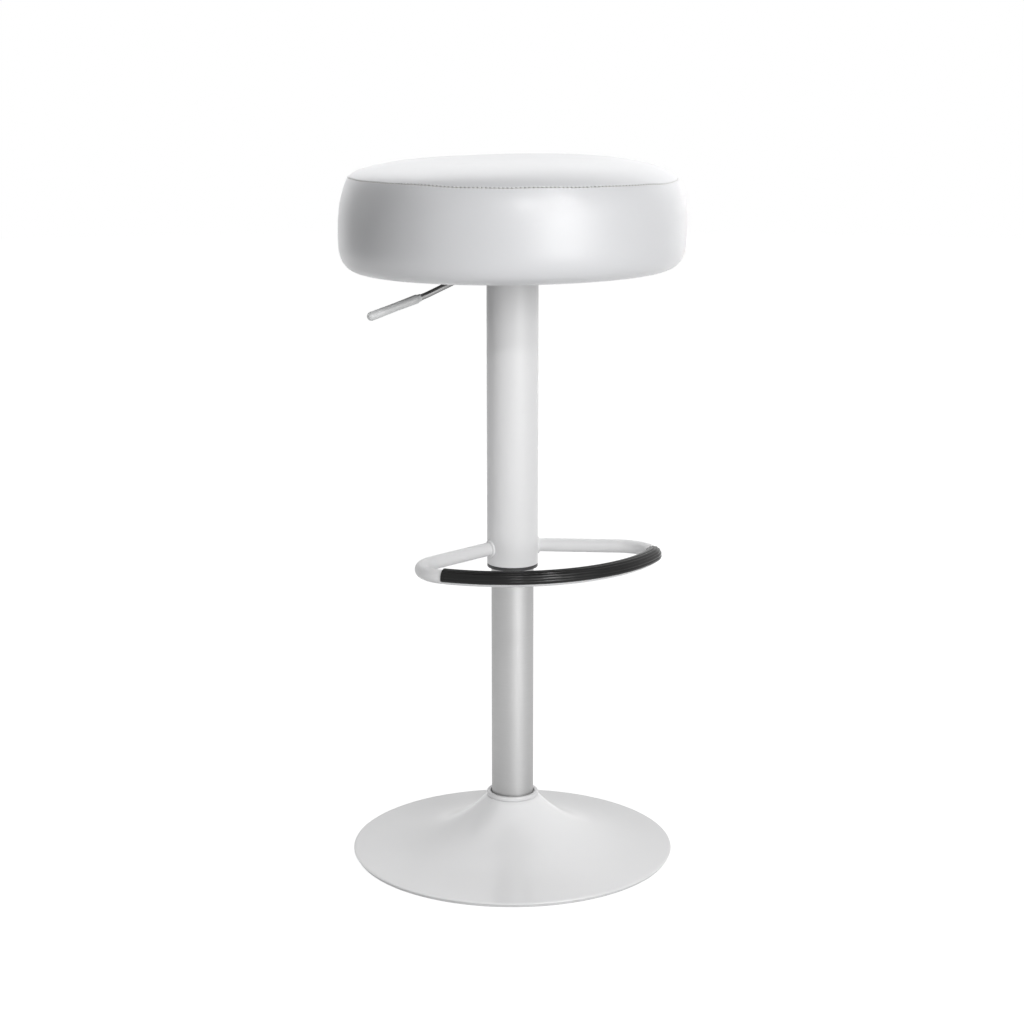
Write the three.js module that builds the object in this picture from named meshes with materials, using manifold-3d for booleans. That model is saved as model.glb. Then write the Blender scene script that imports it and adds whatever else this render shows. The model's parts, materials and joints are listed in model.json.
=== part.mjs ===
// Diner counter stool: a round padded seat on a gas lift column, with a footrest and a trumpet base.
// Millimetres, +Z up. The origin is on the floor on the column's axis, and the front is towards -Y.
// The seat stands at the top of its lift.

import * as THREE from 'three';
import { mergeVertices } from 'three/addons/utils/BufferGeometryUtils.js';
import Module from 'manifold-3d';

const wasm = await Module();
wasm.setup();

// Clearances
const TOUCH = 0.3; // between two pieces that touch
const RUNNING = 0.4; // round a piece that slides or turns
const OVERRUN = 4; // how far a cut runs past what it cuts

// How many sides round pieces have
const WIDE_SIDES = 40;
const TUBE_SIDES = 24;
const SMALL_SIDES = 12;

// Trumpet base: a spun shell that flares from the neck to the rim, on a rubber edge ring
const BASE_RADIUS = 192.5;
const NECK_RADIUS = 31;
const NECK_TOP = 67.5;
const SHELL_WALL = 2;
const RIM_THICKNESS = 2.2;
const FLARE_LINEAR_SHARE = 0.1;
const FLARE_POWER = 3.1;
const EDGE_RING_HEIGHT = 3;
const EDGE_RING_WIDTH = 12;
const EDGE_RING_INSET = 2.5;

// Ballast plate and the flange under the stand tube, bolted together from below
const BALLAST_SHARE = 0.545; // of the base's radius
const BALLAST_THICKNESS = 6;
const BALLAST_BOTTOM = 6;
const BALLAST_HOLE_RADIUS = 20;
const FOOT_FLANGE_RADIUS = 45;
const FOOT_FLANGE_THICKNESS = 5;
const FOOT_BOLT_COUNT = 4;
const FOOT_BOLT_CIRCLE_RADIUS = 36;
const FOOT_BOLT_RADIUS = 4;
const FOOT_BOLT_HEAD_RADIUS = 6.5;
const FOOT_BOLT_HEAD_HEIGHT = 3.6;
const FOOT_BOLT_END = 1.5;

// Stand tube, fixed to the base, with the neck ring and the collar that hold the shell
const STAND_RADIUS = 25;
const STAND_WALL = 2;
const NECK_RING_WALL = 3.3;
const NECK_RING_HEIGHT = 8;
const COLLAR_HEIGHT = 5.7;
const COLLAR_GAP = 1.3;
const COLLAR_INSET = 0.2;
const COLLAR_ROUND = 1.8;

// Cover tube, which carries the seat and slides down over the stand tube
const COVER_RADIUS = 30;
const COVER_WALL = 1.5;
const COVER_BOTTOM = 356;
const GUIDE_OVERLAP = 75;
const COVER_BUSH_LIP = 2.7;
const COVER_BUSH_LIP_INSET = 0.6;
const COVER_BUSH_LENGTH = 30;
const STAND_BUSH_LENGTH = 30;
const CYLINDER_GUIDE_LENGTH = 60;
const CYLINDER_GUIDE_LIP = 3;

// Gas lift, with its rod down, on a ball thrust bearing
const LIFT_STROKE = 210;
const ROD_RADIUS = 5;
const ROD_NECK_RADIUS = 4;
const RACE_THICKNESS = 2;
const RACE_RADIUS = 12;
const BALL_RADIUS = 1.6;
const BALL_COUNT = 8;
const BALL_CIRCLE_RADIUS = 8.3;
const CAGE_THICKNESS = 1.2;
const CAGE_WIDTH = 6.4;
const BUMPER_HEIGHT = 12;
const WASHER_THICKNESS = 1.1;
const WASHER_RADIUS = 9;
const CLIP_THICKNESS = 0.8;
const CLIP_RADIUS = 7.5;
const CLIP_GROOVE_DEPTH = 0.8;
const CLIP_OPENING = Math.PI / 3;
const ROD_END = 1.4;
const CYLINDER_RADIUS = 14;
const CYLINDER_WALL = 2;
const CYLINDER_HEAD = 2;
const TAPER_LENGTH = 38;
const TAPER_DROP = 1.1;
const GLAND_LENGTH = 14;
const GLAND_SETBACK = 1;
const PISTON_LENGTH = 12;
const PISTON_ABOVE_GLAND = 20;
const VALVE_PIN_RADIUS = 3;
const VALVE_PIN_RISE = 4.7;
const VALVE_PIN_LENGTH = 55;

// Footrest: a tube bent into a D, welded to the cover tube, with a ribbed rubber sleeve on its bow
const FOOTREST_RISE = 19.7; // above the cover tube's lower edge
const FOOTREST_HEADING = THREE.MathUtils.degToRad(-68.5);
const FOOTREST_TUBE_RADIUS = 8;
const FOOTREST_TUBE_WALL = 1.5;
const FOOTREST_LEG_ANGLE = THREE.MathUtils.degToRad(63.8);
const FOOTREST_LEG_SETBACK = 10.5;
const FOOTREST_BOW_RADIUS = 184.1;
const FOOTREST_BOW_SETBACK = 20;
const FOOTREST_CORNER_RADIUS = 41.8;
const FOOTREST_SIDES = 10;
const FOOTREST_STEPS = 40;
const WELD_WIDTH = 2.4;
const WELD_LENGTH = 4;
const SLEEVE_WALL = 1.5;
const SLEEVE_RIB = 0.5;
const SLEEVE_RIB_COUNT = 7;
const SLEEVE_GAP = 0.45;
const SLEEVE_COVERAGE = THREE.MathUtils.degToRad(220);
const SLEEVE_STEPS = 20;
const SLEEVE_LINING_SIDES = 12;

// Seat plate: a pressed dish with a flange, bolted under the board
const PLATE_RADIUS = 105;
const PLATE_WALL = 2;
const DISH_RADIUS = 62;
const DISH_FLOOR_RADIUS = 38;
const DISH_DEPTH = 16.7;
const DISH_HOLE_RADIUS = 10;
const SEAT_BOLT_SPACING = 124;
const SEAT_BOLT_RADIUS = 3;
const SEAT_BOLT_LENGTH = 12;
const SEAT_BOLT_HEAD_RADIUS = 5.5;
const SEAT_BOLT_HEAD_HEIGHT = 3.8;
const T_NUT_WALL = 1.3;
const T_NUT_FLANGE_RADIUS = 9;
const T_NUT_FLANGE_THICKNESS = 1.2;
const T_NUT_LENGTH = 10.5;

// Height lever: a bent rod that rocks on a rivet and presses the valve pin
const LEVER_HEADING = THREE.MathUtils.degToRad(-158.5);
const LEVER_RADIUS = 3.5;
const LEVER_PIVOT_REACH = 32;
const LEVER_INNER_REACH = 4;
const LEVER_BEND_REACH = 53;
const LEVER_BEND_LENGTH = 5;
const LEVER_DROP = THREE.MathUtils.degToRad(22.7);
const LEVER_SHANK_LENGTH = 57.4;
const LEVER_SIDES = 10;
const LEVER_STEPS = 20;
const LEVER_SLOT_SILL = 1.2;
const KNUCKLE_RADIUS = 4.8;
const KNUCKLE_WIDTH = 7.4;
const RIVET_RADIUS = 2;
const RIVET_HEAD_RADIUS = 3.2;
const RIVET_HEAD_HEIGHT = 1.2;
const BRACKET_WALL = 2;
const BRACKET_BASE = 1;
const BRACKET_LENGTH = 9;
const BRACKET_HEIGHT = 11;
const GRIP_RADIUS = 5.2;
const GRIP_LENGTH = 67;
const GRIP_DROP = THREE.MathUtils.degToRad(17.7);
const GRIP_SHOULDER = 1;
const GRIP_DEPTH = 52;
const LEVER_SWING = THREE.MathUtils.degToRad(6);

// Seat: a plywood board, foam, and a sewn cover of a top panel and a side band
const SEAT_RADIUS = 199.7;
const SEAM_INSET = 11.7;
const SEAM_HEIGHT = 807;
const CROWN_RISE = 22;
const CROWN_OUTER_POWER = 6.31;
const CROWN_INNER_POWER = 1.21;
const WIDEST_DROP = 65; // below the seam, as the next two
const BAND_DROP = 105;
const BOARD_DROP = 99;
const BAND_UNDER_INSET = 34.7;
const BAND_EDGE_INSET = 49.7;
const BAND_EDGE_RISE = 3.6;
const BAND_UPPER_POWER = 2.9;
const BAND_LOWER_POWER = 2.8;
const COVER_SKIN = 1.6;
const BOARD_INSET = 19.7;
const BOARD_THICKNESS = 12;
const FOAM_UNDER_INSET = 37.7;
const DUST_COVER_THICKNESS = 0.7;
const DUST_COVER_HOLE_RADIUS = 64;

// Heights that follow from these, from the floor up
const rimBottom = EDGE_RING_HEIGHT + TOUCH;
const rimTop = rimBottom + RIM_THICKNESS;
const flangeBottom = BALLAST_BOTTOM + BALLAST_THICKNESS + TOUCH;
const flangeTop = flangeBottom + FOOT_FLANGE_THICKNESS;
const lowerRaceBottom = flangeTop + TOUCH;
const ballHeight = lowerRaceBottom + RACE_THICKNESS + TOUCH + BALL_RADIUS;
const upperRaceBottom = ballHeight + BALL_RADIUS + TOUCH;
const rodShoulder = upperRaceBottom + RACE_THICKNESS + TOUCH;
const bumperTop = rodShoulder + BUMPER_HEIGHT;
const cylinderBottom = bumperTop + TOUCH + LIFT_STROKE;
const glandTop = cylinderBottom + GLAND_SETBACK + GLAND_LENGTH;
const pistonBottom = glandTop + PISTON_ABOVE_GLAND;
const standTop = COVER_BOTTOM + GUIDE_OVERLAP;
const footrestHeight = COVER_BOTTOM + FOOTREST_RISE;
const widestHeight = SEAM_HEIGHT - WIDEST_DROP;
const bandBottom = SEAM_HEIGHT - BAND_DROP;
const boardBottom = SEAM_HEIGHT - BOARD_DROP;
const boardTop = boardBottom + BOARD_THICKNESS;
const plateTop = boardBottom - TOUCH - DUST_COVER_THICKNESS - TOUCH;
const plateBottom = plateTop - DISH_DEPTH;
const cylinderTop = plateBottom - CYLINDER_HEAD;
const pinTop = plateBottom + VALVE_PIN_RISE;
const leverHeight = pinTop + TOUCH + LEVER_RADIUS;

// Radii that follow from these
const ballastRadius = BALLAST_SHARE * BASE_RADIUS;
const coverBore = COVER_RADIUS - COVER_WALL;
const seamRadius = SEAT_RADIUS - SEAM_INSET;
const bandUnderRadius = SEAT_RADIUS - BAND_UNDER_INSET;
const bandEdgeRadius = SEAT_RADIUS - BAND_EDGE_INSET;
const boardRadius = SEAT_RADIUS - BOARD_INSET;
const foamUnderRadius = SEAT_RADIUS - FOAM_UNDER_INSET;

// Finishes
const FINISHES = {
  whitePaint: { color: 0xe6e8e8, roughness: 0.32, metalness: 0 },
  satinTube: { color: 0xc4c4c2, roughness: 0.38, metalness: 0.6 },
  steel: { color: 0x9a9c9e, roughness: 0.45, metalness: 0.9 },
  zincPlate: { color: 0xb7b8b6, roughness: 0.4, metalness: 0.8 },
  blackSteel: { color: 0x26272a, roughness: 0.5, metalness: 0.4 },
  whiteCollar: { color: 0xe4e6e6, roughness: 0.4, metalness: 0 },
  blackPlastic: { color: 0x1c1c1e, roughness: 0.5, metalness: 0 },
  blackRubber: { color: 0x1e1e1f, roughness: 0.6, metalness: 0 },
  paleRubber: { color: 0xd0d1d1, roughness: 0.6, metalness: 0 },
  greyGrip: { color: 0xd9dada, roughness: 0.4, metalness: 0 },
  plywood: { color: 0xc69c6d, roughness: 0.8, metalness: 0 },
  foam: { color: 0xe7dfae, roughness: 0.95, metalness: 0 },
  whiteLeather: { color: 0xe9eaea, roughness: 0.45, metalness: 0 },
  blackCloth: { color: 0x202022, roughness: 0.95, metalness: 0 },
};

const stool = new THREE.Group();

/** Adds a named mesh with its own material to a group, and gives it back to be placed. */
function addPiece(name, geometry, finish, group = stool) {
  const mesh = new THREE.Mesh(geometry, new THREE.MeshStandardMaterial(FINISHES[finish]));
  mesh.name = name;
  group.add(mesh);
  return mesh;
}

/** Points of a circle, anticlockwise. */
function circle(radius, sides, x = 0, y = 0) {
  return Array.from({ length: sides }, (_, i) => {
    const turn = (2 * Math.PI * i) / sides;
    return new THREE.Vector2(x + radius * Math.cos(turn), y + radius * Math.sin(turn));
  });
}

/** Turns a profile of [radius, height] points about the Z axis. One that is off the axis is closed. */
function turned(profile, sides) {
  const points = profile.map(([radius, height]) => new THREE.Vector2(radius, height));
  if (THREE.ShapeUtils.area(points) < 0) points.reverse();
  if (points[0].x > 0 || points.at(-1).x > 0) points.push(points[0].clone());
  return new THREE.LatheGeometry(points, sides).rotateX(Math.PI / 2);
}

/** A plain ring between two radii and two heights. */
function ring(inner, outer, bottom, top, sides) {
  return turned([[inner, bottom], [outer, bottom], [outer, top], [inner, top]], sides);
}

/** A round plate from bottom to top, with round holes of [radius, x, y]. */
function roundPlate(radius, holes, bottom, top, sides) {
  const shape = new THREE.Shape(circle(radius, sides));
  for (const [holeRadius, x, y] of holes) {
    shape.holes.push(new THREE.Path(circle(holeRadius, SMALL_SIDES, x, y)));
  }
  const geometry = new THREE.ExtrudeGeometry(shape, { depth: top - bottom, bevelEnabled: false });
  return geometry.translate(0, 0, bottom);
}

/** A section swept along a path. */
function swept(section, path, steps) {
  const options = { steps, extrudePath: path, bevelEnabled: false };
  return new THREE.ExtrudeGeometry(new THREE.Shape(section), options);
}

/** A closed geometry as a solid that can be cut and joined. */
function toSolid(geometry) {
  const plain = geometry.clone();
  plain.deleteAttribute('normal');
  plain.deleteAttribute('uv');
  const merged = mergeVertices(plain);
  const corners = merged.index.array;
  const faces = [];
  for (let i = 0; i < corners.length; i += 3) {
    const [a, b, c] = corners.slice(i, i + 3);
    if (a !== b && b !== c && c !== a) faces.push(a, b, c);
  }
  const vertProperties = new Float32Array(merged.attributes.position.array);
  return new wasm.Manifold(new wasm.Mesh({ numProp: 3, vertProperties, triVerts: new Uint32Array(faces) }));
}

/** A solid's surface as a geometry. */
function toGeometry(solid) {
  const mesh = solid.getMesh();
  const geometry = new THREE.BufferGeometry();
  geometry.setAttribute('position', new THREE.BufferAttribute(mesh.vertProperties, 3));
  geometry.setIndex(new THREE.BufferAttribute(mesh.triVerts, 1));
  return geometry;
}

/** A geometry with others cut out of it. */
function cut(geometry, ...tools) {
  return toGeometry(tools.reduce((solid, tool) => solid.subtract(toSolid(tool)), toSolid(geometry)));
}

/** Geometries joined into one. */
function joined(geometry, ...others) {
  return toGeometry(others.reduce((solid, other) => solid.add(toSolid(other)), toSolid(geometry)));
}

/** An open profile moved sideways by a distance, to the left of its direction, with mitred corners. */
function offsetProfile(profile, distance) {
  const points = profile.map(([radius, height]) => new THREE.Vector2(radius, height));
  return points.map((point, i) => {
    const before = point.clone().sub(points[Math.max(i - 1, 0)]).normalize();
    const after = points[Math.min(i + 1, points.length - 1)].clone().sub(point).normalize();
    const first = i === 0 ? after : before;
    const last = i === points.length - 1 ? before : after;
    const along = first.clone().add(last).normalize();
    const miter = distance / along.dot(first);
    return [point.x - along.y * miter, point.y + along.x * miter];
  });
}

/** A headed fastener that points up: its head hangs below zero and its shank rises above it. */
function bolt(radius, length, headRadius, headHeight) {
  const head = [[0, -headHeight], [headRadius, -headHeight], [headRadius, 0]];
  return turned([...head, [radius, 0], [radius, length], [0, length]], SMALL_SIDES);
}

/** Height of the base shell's upper surface at a radius. */
function flareHeight(radius) {
  const share = (BASE_RADIUS - radius) / (BASE_RADIUS - NECK_RADIUS);
  const rise = FLARE_LINEAR_SHARE * share + (1 - FLARE_LINEAR_SHARE) * share ** FLARE_POWER;
  return rimTop + (NECK_TOP - rimTop) * rise;
}

function addBaseShell() {
  const radiusShares = [0, 0.03, 0.07, 0.13, 0.21, 0.32, 0.45, 0.62, 0.8];
  const flare = radiusShares.map((share) => {
    const radius = NECK_RADIUS + (BASE_RADIUS - NECK_RADIUS) * share;
    return [radius, flareHeight(radius)];
  });
  const lipBottom = NECK_TOP - SHELL_WALL;
  const neckBore = STAND_RADIUS + COLLAR_GAP;
  const inner = offsetProfile(flare, -SHELL_WALL).slice(1).filter(([, height]) => height < lipBottom);
  const rim = [
    [BASE_RADIUS - SHELL_WALL, rimTop],
    [BASE_RADIUS, rimTop - RIM_THICKNESS / 3],
    [BASE_RADIUS, rimBottom + RIM_THICKNESS / 3],
    [BASE_RADIUS - RIM_THICKNESS / 2, rimBottom],
    [BASE_RADIUS - EDGE_RING_INSET - EDGE_RING_WIDTH, rimBottom],
  ];
  const lip = [[NECK_RADIUS - SHELL_WALL, lipBottom], [neckBore, lipBottom], [neckBore, NECK_TOP]];
  addPiece('base_shell', turned([...flare, ...rim, ...inner.reverse(), ...lip], WIDE_SIDES), 'whitePaint');
}

function addEdgeRing() {
  const outer = BASE_RADIUS - EDGE_RING_INSET;
  const geometry = ring(outer - EDGE_RING_WIDTH, outer, 0, EDGE_RING_HEIGHT, WIDE_SIDES);
  addPiece('base_edge_ring', geometry, 'paleRubber');
}

/** Where the four foot bolts stand. */
function footBoltPlaces() {
  return circle(FOOT_BOLT_CIRCLE_RADIUS, FOOT_BOLT_COUNT).map(({ x, y }) => [x, y]);
}

function addBallast() {
  const holes = footBoltPlaces().map(([x, y]) => [FOOT_BOLT_RADIUS + TOUCH, x, y]);
  const bottom = BALLAST_BOTTOM;
  const top = bottom + BALLAST_THICKNESS;
  const plate = roundPlate(ballastRadius, [[BALLAST_HOLE_RADIUS, 0, 0], ...holes], bottom, top, TUBE_SIDES);
  addPiece('ballast_plate', plate, 'blackSteel');
  const rodHole = [ROD_NECK_RADIUS + RUNNING, 0, 0];
  const flange = roundPlate(FOOT_FLANGE_RADIUS, [rodHole, ...holes], flangeBottom, flangeTop, TUBE_SIDES);
  addPiece('foot_flange', flange, 'blackSteel');
  const seat = BALLAST_BOTTOM - TOUCH;
  const length = flangeTop + FOOT_BOLT_END - seat;
  footBoltPlaces().forEach(([x, y], i) => {
    const geometry = bolt(FOOT_BOLT_RADIUS, length, FOOT_BOLT_HEAD_RADIUS, FOOT_BOLT_HEAD_HEIGHT);
    addPiece(`foot_bolt_${i + 1}`, geometry, 'zincPlate').position.set(x, y, seat);
  });
}

function addStand() {
  const tubeBottom = flangeTop + TOUCH;
  const tube = ring(STAND_RADIUS - STAND_WALL, STAND_RADIUS, tubeBottom, standTop, TUBE_SIDES);
  addPiece('stand_tube', tube, 'satinTube');
  const ringTop = NECK_TOP - SHELL_WALL - TOUCH;
  const ringBore = STAND_RADIUS + TOUCH;
  const neckRing = ring(ringBore, ringBore + NECK_RING_WALL, ringTop - NECK_RING_HEIGHT, ringTop, TUBE_SIDES);
  addPiece('neck_ring', neckRing, 'steel');
  addCollar();
  addStandGuides();
}

/** The collar is a rounded ring that lies on the shell's neck. */
function addCollar() {
  const bottom = NECK_TOP + TOUCH;
  const top = bottom + COLLAR_HEIGHT;
  const inner = STAND_RADIUS + COLLAR_GAP;
  const outer = NECK_RADIUS - COLLAR_INSET;
  const profile = [
    [inner, bottom],
    [outer, bottom],
    [outer, top - COLLAR_ROUND],
    [outer - COLLAR_ROUND / 3, top - COLLAR_ROUND / 3],
    [outer - COLLAR_ROUND, top],
    [inner + COLLAR_ROUND / 2, top],
    [inner, top - COLLAR_ROUND / 2],
  ];
  addPiece('base_collar', turned(profile, TUBE_SIDES), 'whiteCollar');
}

/** Two plastic guides at the top of the stand tube: one round the cylinder and one inside the cover. */
function addStandGuides() {
  const bore = CYLINDER_RADIUS + RUNNING;
  const fit = STAND_RADIUS - STAND_WALL - TOUCH;
  const lipBottom = standTop + TOUCH;
  const lipTop = lipBottom + CYLINDER_GUIDE_LIP;
  const guideBottom = standTop - CYLINDER_GUIDE_LENGTH;
  const profile = [[bore, guideBottom], [fit, guideBottom], [fit, lipBottom]];
  const lip = [[STAND_RADIUS, lipBottom], [STAND_RADIUS, lipTop], [bore, lipTop]];
  addPiece('cylinder_guide', turned([...profile, ...lip], TUBE_SIDES), 'blackPlastic');
  const bushBottom = standTop - STAND_BUSH_LENGTH;
  const bush = ring(STAND_RADIUS + TOUCH, coverBore - RUNNING, bushBottom, standTop, TUBE_SIDES);
  addPiece('stand_glide_bush', bush, 'blackPlastic');
}

function addBearing() {
  const bore = ROD_NECK_RADIUS + RUNNING;
  const lowerTop = lowerRaceBottom + RACE_THICKNESS;
  const lower = ring(bore, RACE_RADIUS, lowerRaceBottom, lowerTop, SMALL_SIDES);
  addPiece('bearing_lower_race', lower, 'steel');
  const cageBottom = ballHeight - CAGE_THICKNESS / 2;
  const cageInner = BALL_CIRCLE_RADIUS - CAGE_WIDTH / 2;
  const cageOuter = BALL_CIRCLE_RADIUS + CAGE_WIDTH / 2;
  const cage = ring(cageInner, cageOuter, cageBottom, cageBottom + CAGE_THICKNESS, SMALL_SIDES);
  const balls = circle(BALL_CIRCLE_RADIUS, BALL_COUNT).map(({ x, y }) =>
    new THREE.SphereGeometry(BALL_RADIUS, 6, 5).translate(x, y, ballHeight));
  addPiece('bearing_cage', joined(cage, ...balls), 'steel');
  const upperTop = upperRaceBottom + RACE_THICKNESS;
  addPiece('bearing_upper_race', ring(bore, RACE_RADIUS, upperRaceBottom, upperTop, SMALL_SIDES), 'steel');
}

function addRod() {
  const washerTop = flangeBottom - TOUCH;
  const washerBottom = washerTop - WASHER_THICKNESS;
  const clipTop = washerBottom - TOUCH;
  const clipBottom = clipTop - CLIP_THICKNESS;
  const grooveRadius = ROD_NECK_RADIUS - CLIP_GROOVE_DEPTH;
  const grooveTop = clipTop + TOUCH / 2;
  const grooveBottom = clipBottom - TOUCH;
  const rodBottom = grooveBottom - ROD_END;
  const rodTop = pistonBottom + PISTON_LENGTH;
  const profile = [
    [0, rodBottom], [ROD_NECK_RADIUS, rodBottom], [ROD_NECK_RADIUS, grooveBottom],
    [grooveRadius, grooveBottom], [grooveRadius, grooveTop], [ROD_NECK_RADIUS, grooveTop],
    [ROD_NECK_RADIUS, rodShoulder], [ROD_RADIUS, rodShoulder], [ROD_RADIUS, rodTop], [0, rodTop],
  ];
  addPiece('piston_rod', turned(profile, SMALL_SIDES), 'steel');
  const washer = ring(ROD_NECK_RADIUS + RUNNING, WASHER_RADIUS, washerBottom, washerTop, SMALL_SIDES);
  addPiece('rod_washer', washer, 'zincPlate');
  addPiece('rod_clip', clipGeometry(grooveRadius + TOUCH), 'steel').position.z = clipBottom;
  const bumper = ring(ROD_RADIUS + TOUCH, RACE_RADIUS, rodShoulder, bumperTop, SMALL_SIDES);
  addPiece('rod_bumper', bumper, 'blackRubber');
  const pistonRadius = CYLINDER_RADIUS - CYLINDER_WALL - RUNNING;
  const piston = ring(ROD_RADIUS + TOUCH, pistonRadius, pistonBottom, rodTop, TUBE_SIDES);
  addPiece('piston', piston, 'steel');
}

/** A flat open ring that snaps into the rod's groove. */
function clipGeometry(bore) {
  const arc = (radius) => Array.from({ length: SMALL_SIDES }, (_, i) => {
    const turn = CLIP_OPENING / 2 + ((2 * Math.PI - CLIP_OPENING) * i) / (SMALL_SIDES - 1);
    return new THREE.Vector2(radius * Math.cos(turn), radius * Math.sin(turn));
  });
  const shape = new THREE.Shape([...arc(CLIP_RADIUS), ...arc(bore).reverse()]);
  return new THREE.ExtrudeGeometry(shape, { depth: CLIP_THICKNESS, bevelEnabled: false });
}

function addCylinder() {
  const bore = CYLINDER_RADIUS - CYLINDER_WALL;
  const taperBottom = cylinderTop - TAPER_LENGTH;
  const pinBore = VALVE_PIN_RADIUS + RUNNING;
  const profile = [
    [bore, cylinderBottom], [CYLINDER_RADIUS, cylinderBottom], [CYLINDER_RADIUS, taperBottom],
    [CYLINDER_RADIUS - TAPER_DROP, cylinderTop], [pinBore, cylinderTop], [pinBore, taperBottom],
    [bore, taperBottom],
  ];
  addPiece('gas_cylinder', turned(profile, TUBE_SIDES), 'blackSteel');
  const glandBottom = cylinderBottom + GLAND_SETBACK;
  const gland = ring(ROD_RADIUS + RUNNING, bore - TOUCH, glandBottom, glandTop, TUBE_SIDES);
  addPiece('rod_gland', gland, 'blackPlastic');
  const pin = turned([[0, pinTop - VALVE_PIN_LENGTH], [VALVE_PIN_RADIUS, pinTop - VALVE_PIN_LENGTH],
    [VALVE_PIN_RADIUS, pinTop], [0, pinTop]], SMALL_SIDES);
  addPiece('valve_pin', pin, 'steel');
}

function addCoverTube() {
  const top = plateBottom - TOUCH;
  addPiece('cover_tube', ring(coverBore, COVER_RADIUS, COVER_BOTTOM, top, TUBE_SIDES), 'whitePaint');
  const bushBore = STAND_RADIUS + RUNNING;
  const bushFit = coverBore - TOUCH;
  const lipTop = COVER_BOTTOM - TOUCH;
  const lipBottom = lipTop - COVER_BUSH_LIP;
  const lipRadius = COVER_RADIUS - COVER_BUSH_LIP_INSET;
  const bushTop = lipTop + COVER_BUSH_LENGTH;
  const profile = [[bushBore, lipBottom], [lipRadius, lipBottom], [lipRadius, lipTop], [bushFit, lipTop]];
  const bush = turned([...profile, [bushFit, bushTop], [bushBore, bushTop]], TUBE_SIDES);
  addPiece('cover_guide_bush', bush, 'blackPlastic');
  const hubFit = coverBore - TOUCH;
  const hubBottom = cylinderTop - TAPER_LENGTH;
  const hubMouth = CYLINDER_RADIUS - TAPER_DROP + TOUCH;
  const hub = [[CYLINDER_RADIUS + TOUCH, hubBottom], [hubFit, hubBottom], [hubFit, top]];
  addPiece('taper_hub', turned([...hub, [hubMouth, top], [hubMouth, cylinderTop]], TUBE_SIDES), 'steel');
}

/** A level arc about a point, as a path. */
class LevelArc extends THREE.Curve {
  constructor(centre, radius, start, end) {
    super();
    Object.assign(this, { centre, radius, start, end });
  }

  getPoint(share) {
    const turn = this.start + (this.end - this.start) * share;
    const { x, y } = this.centre;
    return new THREE.Vector3(x + this.radius * Math.cos(turn), y + this.radius * Math.sin(turn), 0);
  }
}

/** Where the footrest's corner begins and ends, for the leg that leans to the left of its heading. */
function footrestCorner() {
  const along = new THREE.Vector2(Math.cos(FOOTREST_LEG_ANGLE), Math.sin(FOOTREST_LEG_ANGLE));
  const inward = new THREE.Vector2(along.y, -along.x);
  const legStart = inward.clone().multiplyScalar(-FOOTREST_LEG_SETBACK);
  const bowCentre = new THREE.Vector2(-FOOTREST_BOW_SETBACK, 0);
  const rail = legStart.clone().addScaledVector(inward, FOOTREST_CORNER_RADIUS);
  const fromBow = rail.clone().sub(bowCentre);
  const reach = FOOTREST_BOW_RADIUS - FOOTREST_CORNER_RADIUS;
  const half = fromBow.dot(along);
  const distance = -half + Math.sqrt(half ** 2 - fromBow.lengthSq() + reach ** 2);
  const centre = rail.addScaledVector(along, distance);
  const bowAngle = Math.atan2(centre.y - bowCentre.y, centre.x - bowCentre.x);
  return { along, legStart, distance, centre, bowCentre, bowAngle };
}

/** The footrest tube's centre line, from inside the cover tube round the bow and back. */
function footrestPath() {
  const { along, legStart, distance, centre, bowCentre, bowAngle } = footrestCorner();
  const inside = legStart.clone().addScaledVector(along, COVER_RADIUS / 2);
  const cornerStart = legStart.clone().addScaledVector(along, distance);
  const legTurn = FOOTREST_LEG_ANGLE + Math.PI / 2;
  const at = ({ x, y }, side) => new THREE.Vector3(x, side * y, 0);
  const mirrored = new THREE.Vector2(centre.x, -centre.y);
  const path = new THREE.CurvePath();
  path.add(new THREE.LineCurve3(at(inside, -1), at(cornerStart, -1)));
  path.add(new LevelArc(mirrored, FOOTREST_CORNER_RADIUS, -legTurn, -bowAngle));
  path.add(new LevelArc(bowCentre, FOOTREST_BOW_RADIUS, -bowAngle, bowAngle));
  path.add(new LevelArc(centre, FOOTREST_CORNER_RADIUS, bowAngle, legTurn));
  path.add(new THREE.LineCurve3(at(cornerStart, 1), at(inside, 1)));
  return path;
}

/** The weld round the leg on side 1 or -1 where it meets the cover tube: a cone that widens inwards. */
function weldCone(side) {
  const { along, legStart } = footrestCorner();
  const root = Math.sqrt(COVER_RADIUS ** 2 - FOOTREST_LEG_SETBACK ** 2);
  const length = FOOTREST_TUBE_RADIUS + WELD_LENGTH;
  const widest = FOOTREST_TUBE_RADIUS + WELD_WIDTH * (length / WELD_LENGTH);
  const place = legStart.clone().addScaledVector(along, root + WELD_LENGTH - length / 2);
  const cone = new THREE.CylinderGeometry(FOOTREST_TUBE_RADIUS, widest, length, FOOTREST_SIDES);
  return cone.rotateZ(side * FOOTREST_LEG_ANGLE - Math.PI / 2).translate(place.x, side * place.y, 0);
}

function addFootrest() {
  const group = new THREE.Group();
  group.position.z = footrestHeight;
  group.rotation.z = FOOTREST_HEADING;
  stool.add(group);
  const path = footrestPath();
  const outer = swept(circle(FOOTREST_TUBE_RADIUS, FOOTREST_SIDES), path, FOOTREST_STEPS);
  const bore = swept(circle(FOOTREST_TUBE_RADIUS - FOOTREST_TUBE_WALL, FOOTREST_SIDES), path, FOOTREST_STEPS);
  const coverReach = 2 * FOOTREST_TUBE_RADIUS;
  const coverCut = ring(0, COVER_RADIUS + TOUCH, -coverReach, coverReach, TUBE_SIDES);
  const bar = cut(joined(outer, weldCone(1), weldCone(-1)), coverCut, bore);
  addPiece('footrest_bar', bar, 'whitePaint', group);
  addPiece('footrest_sleeve', sleeveGeometry(), 'blackRubber', group);
}

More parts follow.
